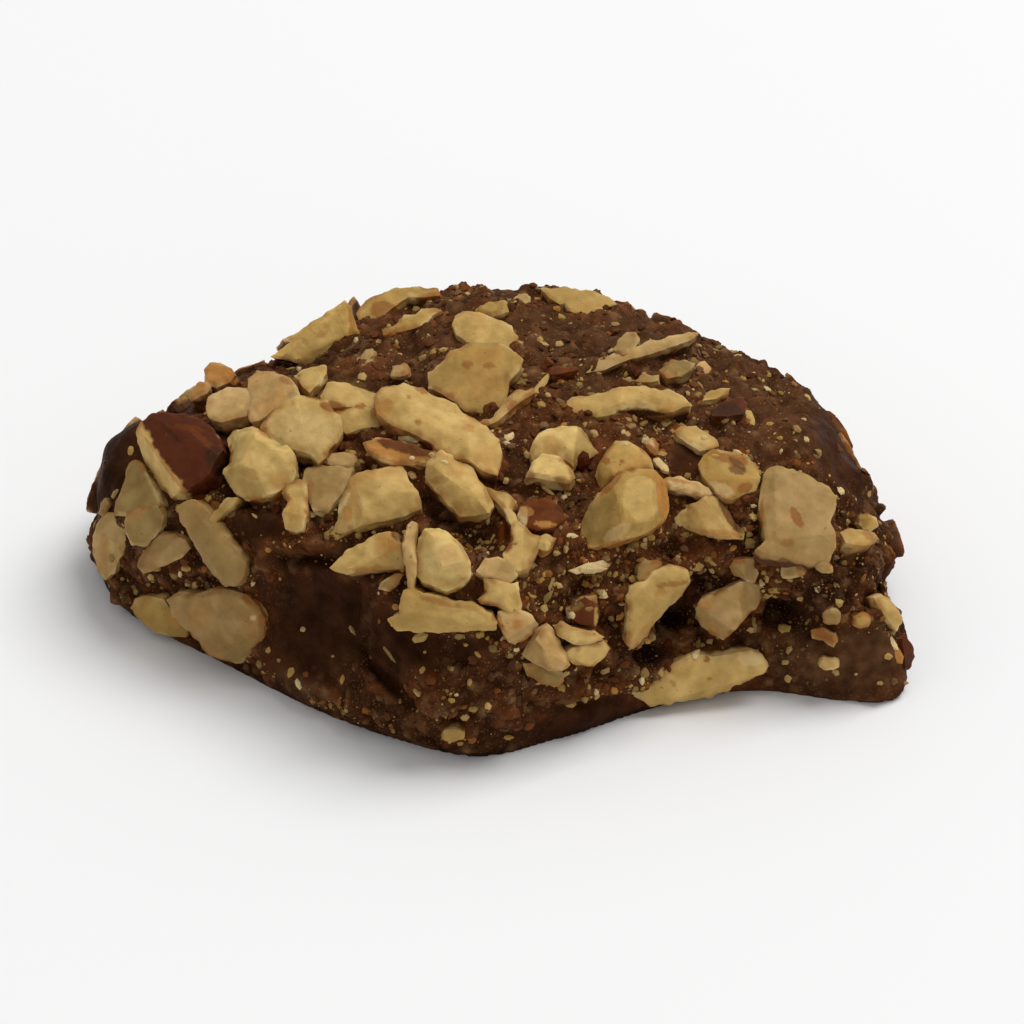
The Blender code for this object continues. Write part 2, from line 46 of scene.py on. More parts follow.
# The face drawing: a square of units seen from above the front, which the almonds are laid out on.
drawing = {
    "unit": 0.07,                      # mm
    "middle": 512,
    "tilt": math.radians(35),
    "originColumn": 505,
    "originRow": 588,
    "eyeDistance": 500.0,              # mm
}
sightLine = Vector((0.0, math.cos(drawing["tilt"]), -math.sin(drawing["tilt"])))
drawingRight = Vector((1.0, 0.0, 0.0))
drawingUp = Vector((0.0, math.sin(drawing["tilt"]), math.cos(drawing["tilt"])))
drawingCentre = (
    drawingRight * (drawing["middle"] - drawing["originColumn"]) * drawing["unit"]
    + drawingUp * (drawing["originRow"] - drawing["middle"]) * drawing["unit"]
)
eye = drawingCentre - sightLine * drawing["eyeDistance"]

# The lump, in mm: from the front corner round the foot, foot x, foot y, shoulder height, shoulder set in.
lump = {
    "standsAt": (0.6951, -0.8392),     # where the drawing's origin is on the table
    "crownHeight": 16.6,
    "baseShare": 0.965,
    "tuckPower": 7,
    "domePower": 2.3,
    "domeRound": 0.60,
    "baseEnd": 2 / 23,
    "wallEnd": 9 / 23,
    "segments": 240,
    "rings": 115,
    "normalStep": 0.005,
    "topClimb": 0.9995,
    "settle": 0.06,                    # share of the climb in which the relief grows in above the base
    "shownFrom": 0.1,                  # how far a side must face the eye before the relief begins
    "shownOver": 0.5,
    "overTable": 0.02,
    "stations": [
        (-2.6, -20.2, 10.4, 1.3),
        (3.8, -18.2, 10.0, 1.2),
        (10.8, -14.5, 9.2, 1.2),
        (17.2, -12.5, 8.6, 2.0),
        (23.8, -13.7, 5.6, 2.0),
        (27.6, -13.5, 4.6, 1.8),
        (28.3, -10.2, 5.0, 1.6),
        (26.3, -5.9, 6.6, 1.5),
        (27.4, -0.8, 9.0, 1.2),
        (25.4, 6.0, 8.8, 1.6),
        (20.2, 13.6, 8.6, 2.0),
        (11.5, 19.8, 9.6, 2.0),
        (0.5, 21.9, 10.2, 2.0),
        (-9.8, 19.8, 9.8, 2.0),
        (-19.4, 14.6, 9.4, 2.0),
        (-26.8, 8.4, 9.0, 1.8),
        (-29.2, 2.4, 8.6, 1.2),
        (-27.0, -3.1, 8.5, 1.0),
        (-20.0, -9.3, 9.6, 1.0),
        (-11.7, -15.9, 10.8, 1.0),
    ],
    # broad humps and hollows: column, row, half length, half width, turn, height
    "relief": {
        "pitBetweenChips": (700, 612, 2.3, 1.6, 62, -2.3),
        "pitBelow": (662, 650, 1.8, 1.3, 20, -1.3),
        "hollowOverTheFoot": (795, 612, 2.8, 1.8, 5, -1.3),
        "smoothFace": (318, 610, 5.6, 4.4, 60, -1.0),
        "crack": (385, 672, 3.9, 0.7, -52, -1.3),
        "frontLump": (480, 690, 4.6, 3.2, -8, 0.9),
        "upperGroove": (640, 366, 4.6, 0.8, 14, -1.5),
        "backBump": (496, 296, 2.6, 1.2, 0, 0.8),
        "backSaddle": (728, 352, 2.2, 2.4, 60, -1.6),
        "rightNotch": (884, 592, 1.9, 1.3, 10, -1.2),
        "rim": (330, 522, 5.0, 0.9, 3, 0.7),
        "leftShoulder": (275, 420, 5.5, 4.0, 0, 0.8),
        "darkGap": (460, 535, 2.6, 1.2, 0, -1.2),
    },
    "coarse": (6.5, 0.75),             # size and height of its unevenness, mm
    "fine": (2.6, 0.40),
    "seed": Vector((31.0, 7.0, 19.0)),
}


def stationAt(turn):
    stations = lump["stations"]
    place = (turn % 1.0) * len(stations)
    first = int(place)
    step = place - first
    before, start, end, after = (stations[(first + k) % len(stations)] for k in (-1, 0, 1, 2))
    values = []
    for p0, p1, p2, p3 in zip(before, start, end, after):
        slope = (p2 - p0) / 2
        slopeAfter = (p3 - p1) / 2
        rise = p2 - p1
        bend = slope + slopeAfter - 2 * rise
        values.append(p1 + step * (slope + step * (3 * rise - 2 * slope - slopeAfter + step * bend)))
    return values


def pebblePoint(turn, climb):
    footX, footY, shoulder, setIn = stationAt(turn)
    reach = math.hypot(footX, footY)
    outward = Vector((footX, footY, 0.0)) / reach
    if climb <= lump["baseEnd"]:
        return outward * reach * lump["baseShare"] * climb / lump["baseEnd"]
    if climb <= lump["wallEnd"]:
        up = (climb - lump["baseEnd"]) / (lump["wallEnd"] - lump["baseEnd"])
        tuck = (1 - lump["baseShare"]) * (1 - up) ** lump["tuckPower"]
        return outward * (reach * (1 - tuck) - setIn * up * up) + Vector((0, 0, shoulder * up))
    share = math.sin((1 - climb) / (1 - lump["wallEnd"]) * math.pi / 2)
    dome = (1 - share ** lump["domePower"]) ** lump["domeRound"]
    height = shoulder + (lump["crownHeight"] - shoulder) * dome
    return outward * (reach - setIn) * share + Vector((0, 0, height))


def pebbleNormal(turn, climb):
    step = lump["normalStep"]
    low, high = max(climb - step, lump["baseEnd"]), min(climb + step, 1 - step)
    along = pebblePoint(turn + step, climb) - pebblePoint(turn - step, climb)
    upward = pebblePoint(turn, high) - pebblePoint(turn, low)
    return along.cross(upward).normalized()


def onDrawing(points):
    # columns and rows of the drawing for points in mm
    sight = points - np.array(eye)
    scale = drawing["eyeDistance"] / (sight @ np.array(sightLine)) / drawing["unit"]
    columns = drawing["middle"] + sight @ np.array(drawingRight) * scale
    rows = drawing["middle"] - sight @ np.array(drawingUp) * scale
    return columns, rows


def facingEye(points, normals):
    towards = np.array(eye) - points
    towards /= np.linalg.norm(towards, axis=1)[:, None]
    return np.einsum("ij,ij->i", towards, normals)


def hump(columns, rows, feature, edge=2.8):
    # a smooth oval hump on the drawing, 1 in its middle
    column, row, halfLong, halfWide, turn = feature[:5]
    across = (columns - column) * drawing["unit"]
    above = (row - rows) * drawing["unit"]
    angle = math.radians(turn)
    along = (across * math.cos(angle) + above * math.sin(angle)) / halfLong
    beside = (above * math.cos(angle) - across * math.sin(angle)) / halfWide
    return np.exp(-(np.hypot(along, beside) ** edge))


# Numbers that stir the noises
noiseGrid = {
    "factors": (73856093, 19349663, 83492791, 668265263, 1274126177),
    "axis": Vector((0.4, 0.7, 0.6)),
    "turn": 0.7,
    "softStep": 13.7,                  # how far one seed's noise is from the next
    "softGain": 2.6,
    "grainStep": 5.3,
    "grainReach": 0.5,
}


def cellValue(cells, seed):
    # a steady random number from 0 to 1 for each cell of a grid
    alongX, alongY, alongZ, bySeed, stir = noiseGrid["factors"]
    mixed = cells[..., 0] * alongX ^ cells[..., 1] * alongY ^ cells[..., 2] * alongZ ^ (seed * bySeed)
    mixed = (mixed ^ (mixed >> 13)) * stir & 0x7FFFFFFF
    return ((mixed ^ (mixed >> 16)) & 0xFFFF) / 0xFFFF


def softNoise(points, size, seed):
    # smooth lumps of one size, from -1 to 1
    turn = np.array(Matrix.Rotation(noiseGrid["turn"] + seed, 3, noiseGrid["axis"]))
    turned = points @ turn.T / size + seed * noiseGrid["softStep"]
    cells = np.floor(turned).astype(np.int64)
    within = turned - cells
    ease = within * within * within * (within * (within * 6 - 15) + 10)
    total = np.zeros(len(points))
    for corner in np.ndindex(2, 2, 2):
        share = np.prod(np.where(np.array(corner) == 1, ease, 1 - ease), axis=1)
        total += share * cellValue(cells + np.array(corner), seed)
    return np.clip((total - 0.5) * noiseGrid["softGain"], -1, 1)


def grainNoise(points, size, seed):
    # rounded grains: how near a grain's middle a point is, 1 to 0, and a number for each grain
    scaled = points / size + seed * noiseGrid["grainStep"]
    cells = np.floor(scaled).astype(np.int64)
    nearest = np.full(len(points), np.inf)
    grain = np.zeros(len(points))
    for step in np.ndindex(3, 3, 3):
        cell = cells + np.array(step) - 1
        spot = cell + np.stack([cellValue(cell, seed + k) for k in (1, 2, 3)], axis=1)
        distance = np.linalg.norm(scaled - spot, axis=1)
        closer = distance < nearest
        nearest = np.where(closer, distance, nearest)
        grain = np.where(closer, cellValue(cell, seed + 4), grain)
    return np.clip(1 - nearest * nearest / noiseGrid["grainReach"], 0, 1), grain


def ramp(values, low, high):
    share = np.clip((values - low) / (high - low), 0, 1)
    return share * share * (3 - 2 * share)


def patches(points, seed, layer):
    # soft patches, 0 to 1: noise size in mm, what is added to the seed, where they begin and are full
    size, shift, low, high = layer
    return ramp(softNoise(points, size, seed + shift), low, high)


def blend(first, second, share):
    return first + (np.asarray(second) - first) * np.asarray(share)[..., None]


def lumpRelief(points, normals):
    height = np.zeros(len(points))
    for name in ("coarse", "fine"):
        size, amount = lump[name]
        height += amount * np.array([noise.noise(Vector(p) / size + lump["seed"]) for p in points])
    shown = np.clip((facingEye(points, normals) - lump["shownFrom"]) / lump["shownOver"], 0, 1)
    columns, rows = onDrawing(points)
    for feature in lump["relief"].values():
        height += shown * feature[5] * hump(columns, rows, feature)
    return height


def settling(climb):
    return min((climb - lump["baseEnd"]) / lump["settle"], 1.0)


def surfacePoint(turn, climb):
    point, normal = pebblePoint(turn, climb), pebbleNormal(turn, climb)
    height = lumpRelief(np.array([point]), np.array([normal]))[0]
    return point + normal * height * settling(climb), normal


def meshArrays(mesh):
    points, normals = np.empty(len(mesh.vertices) * 3), np.empty(len(mesh.vertices) * 3)
    mesh.vertices.foreach_get("co", points)
    mesh.vertex_normals.foreach_get("vector", normals)
    return points.reshape(-1, 3), normals.reshape(-1, 3)


def addAttribute(mesh, name, kind, values):
    made = mesh.attributes.new(name, kind, "POINT")
    made.data.foreach_set("color" if kind == "FLOAT_COLOR" else "value", values.astype(np.float32).ravel())


def addTint(mesh, colours):
    addAttribute(mesh, "tint", "FLOAT_COLOR", np.hstack([np.clip(colours, 0, 1), np.ones((len(colours), 1))]))


def remesh(thing, size, sharp=False):
    # an even mesh; the sharp kind keeps cut edges crisp
    bpy.ops.object.select_all(action="DESELECT")
    thing.select_set(True)
    bpy.context.view_layer.objects.active = thing
    grain = thing.modifiers.new("grain", "REMESH")
    grain.mode = "SHARP" if sharp else "VOXEL"
    grain.voxel_size = size
    if sharp:
        corners = np.array([vertex.co for vertex in thing.data.vertices])
        cells = float((corners.max(axis=0) - corners.min(axis=0)).max()) / size
        grain.octree_depth = math.ceil(math.log2(cells / almondSize["fullGrid"]))
        grain.scale = cells / 2 ** grain.octree_depth
    bpy.ops.object.modifier_apply(modifier="grain")


def treeOf(objects):
    corners, faces, total = [], [], 0
    for thing in objects:
        corners += [vertex.co.copy() for vertex in thing.data.vertices]
        faces += [tuple(v + total for v in face.vertices) for face in thing.data.polygons]
        total += len(thing.data.vertices)
    return BVHTree.FromPolygons(corners, faces)


def makeLump():
    bpy.ops.mesh.primitive_uv_sphere_add(segments=lump["segments"], ring_count=lump["rings"], radius=1)
    made = bpy.context.object
    points, normals, settled = [], [], []
    for vertex in made.data.vertices:
        x, y, z = vertex.co
        turn = math.atan2(y, x) / math.tau
        climb = 0.5 + math.asin(max(-1.0, min(1.0, z))) / math.pi
        climb = min(round(climb * lump["rings"]) / lump["rings"], lump["topClimb"])
        points.append(pebblePoint(turn, climb))
        onBase = climb <= lump["baseEnd"] + 1e-6
        normals.append(Vector((0, 0, -1)) if onBase else pebbleNormal(turn, climb))
        settled.append(0.0 if onBase else settling(climb))
    points, normals, settled = np.array(points), np.array(normals), np.array(settled)
    points += normals * (lumpRelief(points, normals) * settled)[:, None]
    points[:, 2] = np.maximum(points[:, 2], lump["overTable"] * (settled > 0))
    made.data.vertices.foreach_set("co", points.ravel())
    made.data.update()
    return made


print("lump")
chocolateCoat = makeLump()
chocolateCoat.name = "chocolateCoat"
lumpTree = treeOf([chocolateCoat])

# Colours of almond, skin and chocolate
tones = {
    "rust": (0.165, 0.052, 0.0155),
    "milk": (0.132, 0.062, 0.0270),
    # near-black painted shade for deep pits
    "pitShade": (0.008, 0.0030, 0.0015),
    "cream": (0.515, 0.340, 0.114),
    "bright": (0.585, 0.402, 0.142),
    "gold": (0.640, 0.405, 0.115),
    "pink": (0.480, 0.310, 0.122),
    "tan": (0.415, 0.258, 0.072),
    # olive is the almond tone in shade: painted shade on the almonds and marks that use it, a dull tone on hidden
    # almonds and crumbs
    "oliveAndShade": (0.290, 0.188, 0.060),
    "grey": (0.330, 0.208, 0.074),
    "orange": (0.440, 0.205, 0.050),
    "white": (0.680, 0.520, 0.260),
    "stain": (0.27, 0.100, 0.022),
    "skin": (0.088, 0.0190, 0.0056),
    "amber": (0.135, 0.032, 0.0055),
    "dark": (0.036, 0.0130, 0.0056),
    "cocoa": (0.070, 0.0260, 0.0102),
    "satin": (0.095, 0.0370, 0.0150),
    "reddish": (0.120, 0.0380, 0.0120),
    "dusty": (0.190, 0.100, 0.044),
}

# Kinds of chopped almond: squareness, taper, bow, outline roughness, broken faces, lift at the edge,
# how far in the top rounds off (share of the width), lumpiness
almondCuts = {
    "slab": (3.6, 0.12, 0.00, 0.12, 2, 0.92, 0.04, 0.030),
    "slice": (2.2, 0.35, 0.22, 0.05, 0, 0.80, 0.06, 0.03),
    "wedge": (2.6, 0.80, 0.00, 0.12, 2, 0.92, 0.04, 0.030),
    "brick": (5.0, 0.05, 0.00, 0.06, 0, 0.95, 0.03, 0.03),
    "plank": (3.0, 0.35, 0.05, 0.09, 3, 0.88, 0.06, 0.04),
    "lens": (1.7, 0.10, 0.12, 0.08, 2, 0.86, 0.07, 0.04),
    "sliver": (2.6, 0.30, 0.10, 0.09, 1, 0.86, 0.08, 0.03),
    "nugget": (2.3, 0.10, 0.00, 0.13, 5, 0.76, 0.16, 0.06),
    "club": (2.6, -0.45, 0.12, 0.06, 1, 0.84, 0.10, 0.03),
    "moon": (2.2, 0.20, 0.55, 0.06, 2, 0.82, 0.10, 0.03),
    "shard": (1.8, 0.45, 0.00, 0.24, 3, 0.90, 0.05, 0.05),
}

# Almonds of the face drawing: column, row, length, width, turn, cut, rise, facing out, tone
faceAlmonds = {
    "edgeTip": (222, 379, 2.3, 1.8, 20, "nugget", 0.6, 0.3, "orange"),
    "edgeTipLow": (200, 393, 1.8, 1.1, 32, "nugget", 0.4, 0.2, "orange"),
    "standingWedge": (314, 339, 6.1, 3.9, 203, "wedge", 0.9, 0.9, "gold"),
    "backLeftSlab": (401, 310, 5.2, 2.5, 8, "slab", 0.6, 0.4, "tan"),
    "backLeftBit": (414, 329, 2.8, 1.0, 8, "sliver", 0.4, 0.2, "tan"),
    "smallGrey": (369, 360, 1.7, 0.9, 60, "nugget", 0.4, 0.1, "grey"),
    "smallWedge": (313, 382, 1.9, 1.6, -100, "wedge", 0.6, 0.2, "cream"),
    "smallRound": (400, 373, 1.3, 1.1, 0, "nugget", 0.4, 0.1, "pink"),
    "pinkBlock": (234, 409, 3.3, 2.5, 12, "slab", 0.8, 0.1, "pink"),
    "orangeBlock": (273, 395, 4.4, 2.9, -12, "slab", 1.1, 0.1, "pink"),
    "creamDiamond": (305, 428, 6.0, 3.9, -10, "lens", 1.3, 0.1, "cream"),
    "cauliflower": (262, 462, 4.9, 4.6, 20, "nugget", 1.6, 0.1, "bright"),
    "spottedBlock": (353, 400, 5.0, 2.2, -10, "slab", 0.9, 0.1, "cream"),
    "creamStrip": (352, 430, 4.7, 2.0, 14, "slab", 0.8, 0.1, "cream"),
    "longLeaf": (442, 432, 9.7, 3.1, -37, "plank", 1.1, 0.1, "cream"),
    "tooth": (456, 484, 5.0, 3.2, -42, "nugget", 1.2, 0.2, "cream"),
    "roundFlake": (474, 386, 6.3, 4.1, -5, "slab", 1.2, 0.3, "tan"),
    "paleBlock": (484, 333, 4.1, 2.4, -23, "slab", 0.9, 0.3, "cream"),
    "backMiddle": (494, 311, 2.4, 1.2, 0, "nugget", 0.6, 0.2, "tan"),
    "backGrey": (522, 302, 1.4, 1.2, 0, "nugget", 0.4, 0.2, "grey"),
    "backLong": (584, 307, 6.4, 2.3, -20, "slab", 0.7, 0.4, "cream"),
    "upperPale": (621, 346, 1.8, 1.2, 30, "nugget", 0.4, 0.1, "grey"),
    "upperSliver": (640, 357, 7.0, 0.9, 14, "sliver", 0.7, 0.3, "pink"),
    "upperSliverRoot": (563, 373, 2.3, 0.8, 8, "wedge", 0.4, 0.1, "amber"),
    "upperOlive": (648, 382, 1.7, 0.9, 0, "slab", 0.4, 0.1, "oliveAndShade"),
    "middleSliver": (627, 405, 8.1, 1.5, 2, "sliver", 0.9, 0.2, "cream"),
    "tailFlake": (679, 374, 2.3, 1.3, 18, "slab", 0.6, 0.2, "oliveAndShade"),
    "tailFlakeBit": (703, 370, 1.2, 0.9, 0, "nugget", 0.4, 0.2, "pink"),
    "stripe": (713, 400, 2.3, 1.0, 18, "slab", 0.5, 0.1, "tan"),
    "redBlock": (737, 411, 2.3, 1.7, 10, "slab", 0.6, 0.1, "skin"),
    "crossingSliver": (514, 408, 6.0, 0.8, 42, "sliver", 0.8, 0.2, "cream"),
    "brightNugget": (561, 444, 4.4, 3.1, -14, "nugget", 1.4, 0.1, "bright"),
    "brightMoon": (552, 472, 2.9, 1.9, -24, "moon", 1.0, 0.3, "bright"),
    "oliveBack": (627, 462, 4.2, 2.7, 0, "moon", 1.0, 0.3, "tan"),
    "paleOval": (652, 448, 1.1, 0.7, -50, "nugget", 0.4, 0.1, "white"),
    "paleShard": (661, 467, 1.3, 0.6, -50, "shard", 0.4, 0.1, "white"),
    "bigNugget": (623, 510, 5.8, 4.7, 36, "nugget", 1.9, 0.1, "tan"),
    "thinPale": (683, 487, 3.0, 0.8, -14, "sliver", 0.8, 0.2, "white"),
    "upperSmall": (699, 443, 2.6, 1.4, -22, "slab", 0.7, 0.2, "cream"),
    "oliveFlake": (730, 477, 4.3, 2.9, -10, "slab", 0.8, 0.1, "tan"),
    "skinWedge": (712, 521, 4.6, 2.5, 172, "wedge", 1.1, 0.1, "cream"),
    "paleSlab": (796, 514, 4.9, 5.8, 2, "slab", 0.9, 0.2, "pink"),
    "rightHook": (859, 541, 2.9, 1.5, -6, "slab", 0.7, 0.2, "tan"),
    "hookTop": (866, 523, 1.2, 1.3, 0, "nugget", 0.5, 0.2, "tan"),
    "skinBlock": (181, 458, 4.7, 4.0, -57, "brick", 1.7, 0.1, "cream"),
    # the olive almonds on the left wall are painted shade
    "leftUpperBit": (109, 503, 1.7, 0.7, 62, "sliver", 0.4, 0.1, "oliveAndShade"),
    "leftOlive": (139, 494, 3.5, 2.6, 80, "wedge", 0.9, 0.1, "oliveAndShade"),
    "leftOliveLow": (147, 530, 2.3, 2.1, 80, "slab", 0.7, 0.1, "oliveAndShade"),
    "leftSmall": (165, 552, 3.2, 2.1, 14, "slab", 0.8, 0.1, "grey"),
    "leftClub": (213, 546, 6.6, 2.0, -54, "club", 1.1, 0.1, "oliveAndShade"),
    "leftEdge": (112, 547, 4.2, 2.0, 98, "slab", 0.6, 0.2, "pink"),
    "leftSliver": (225, 510, 2.1, 0.8, 45, "sliver", 0.6, 0.1, "tan"),
    "jagged": (297, 511, 3.8, 2.0, 66, "shard", 0.9, 0.2, "cream"),
    "greySlab": (331, 494, 3.9, 3.6, 5, "slab", 0.8, 0.1, "grey"),
    "brightSlab": (378, 501, 6.1, 2.9, 24, "slab", 1.3, 0.2, "cream"),
    "halfMoon": (341, 461, 2.1, 1.0, -12, "moon", 0.7, 0.2, "pink"),
    "skinStrip": (397, 454, 4.7, 1.8, -20, "lens", 1.0, 0.3, "orange"),
    "creamWedge": (376, 556, 5.0, 2.6, 202, "wedge", 1.2, 0.2, "cream"),
    "smallTriangle": (391, 578, 1.7, 1.2, 30, "wedge", 0.5, 0.1, "oliveAndShade"),
    "uprightSliver": (410, 557, 4.7, 0.8, 90, "sliver", 1.2, 0.3, "pink"),
    "creamNugget": (446, 560, 4.1, 3.7, -60, "nugget", 1.4, 0.2, "bright"),
    "wideSlab": (446, 612, 7.1, 2.4, -4, "slab", 1.4, 0.3, "cream"),
    "longStrip": (515, 538, 5.7, 1.9, -70, "slab", 0.9, 0.1, "cream"),
    "stripFoot": (542, 545, 2.3, 1.7, -25, "nugget", 0.8, 0.1, "cream"),
    "amberBit": (542, 516, 2.8, 1.7, 5, "slab", 0.9, 0.1, "amber"),
    "smallCream": (497, 570, 2.7, 1.9, 10, "slab", 0.9, 0.1, "pink"),
    "greyCream": (501, 593, 2.7, 2.0, -32, "slab", 0.9, 0.2, "cream"),
    "pointDown": (516, 623, 2.5, 2.1, -75, "wedge", 1.1, 0.3, "pink"),
    "stackedLump": (543, 650, 3.2, 2.4, -12, "nugget", 1.2, 0.2, "pink"),
    "oliveUnder": (543, 674, 2.4, 0.9, -15, "slab", 0.5, 0.2, "oliveAndShade"),
    "oliveOver": (586, 603, 1.6, 1.0, 20, "slab", 0.5, 0.1, "oliveAndShade"),
    "amberBlock": (582, 614, 1.6, 1.3, 0, "slab", 0.6, 0.2, "amber"),
    "brightBitTop": (578, 635, 3.0, 1.2, -20, "shard", 1.0, 0.3, "bright"),
    "brightBitLow": (587, 652, 3.1, 1.4, 9, "slab", 1.1, 0.2, "bright"),
    "brightShard": (598, 567, 2.4, 0.8, -4, "shard", 0.5, 0.2, "white"),
    "brightLeaf": (655, 600, 6.3, 2.5, 48, "lens", 1.4, 0.4, "cream"),
    "shadowBlock": (728, 609, 4.4, 3.2, 15, "slab", 1.6, 0.3, "pink"),
    "lowLeaf": (702, 678, 9.2, 2.9, 14, "lens", 1.2, 0.3, "cream"),
    "roundSlice": (220, 625, 6.6, 4.7, 165, "slice", 1.1, 0.2, "grey"),
    "behindSlice": (160, 615, 4.1, 2.3, -24, "slab", 0.7, 0.2, "tan"),
    "faintFlake": (744, 570, 2.1, 1.4, 0, "slab", 0.5, 0.1, "grey"),
    "rightBit": (793, 571, 1.7, 0.9, 5, "slab", 0.4, 0.1, "grey"),
    "rightBitFar": (824, 567, 1.2, 0.9, -15, "nugget", 0.4, 0.1, "grey"),
    "greyChip": (648, 570, 1.8, 1.4, 20, "slab", 0.6, 0.1, "grey"),
    "notchEdge": (885, 606, 2.3, 1.0, -52, "moon", 0.5, 0.2, "cream"),
    "footSkin": (903, 650, 2.0, 0.9, -74, "slab", 0.4, 0.2, "skin"),
    "footOlive": (832, 616, 1.3, 1.2, 0, "nugget", 0.5, 0.1, "grey"),
    "footPale": (861, 620, 1.2, 1.1, 20, "nugget", 0.5, 0.1, "tan"),
    "footAmber": (824, 632, 1.9, 1.5, -20, "slab", 0.5, 0.1, "stain"),
    "footWhite": (828, 662, 1.4, 0.9, 0, "nugget", 0.5, 0.1, "cream"),
    "cornerCrumb": (453, 733, 1.5, 0.9, 8, "nugget", 0.4, 0.1, "tan"),
}

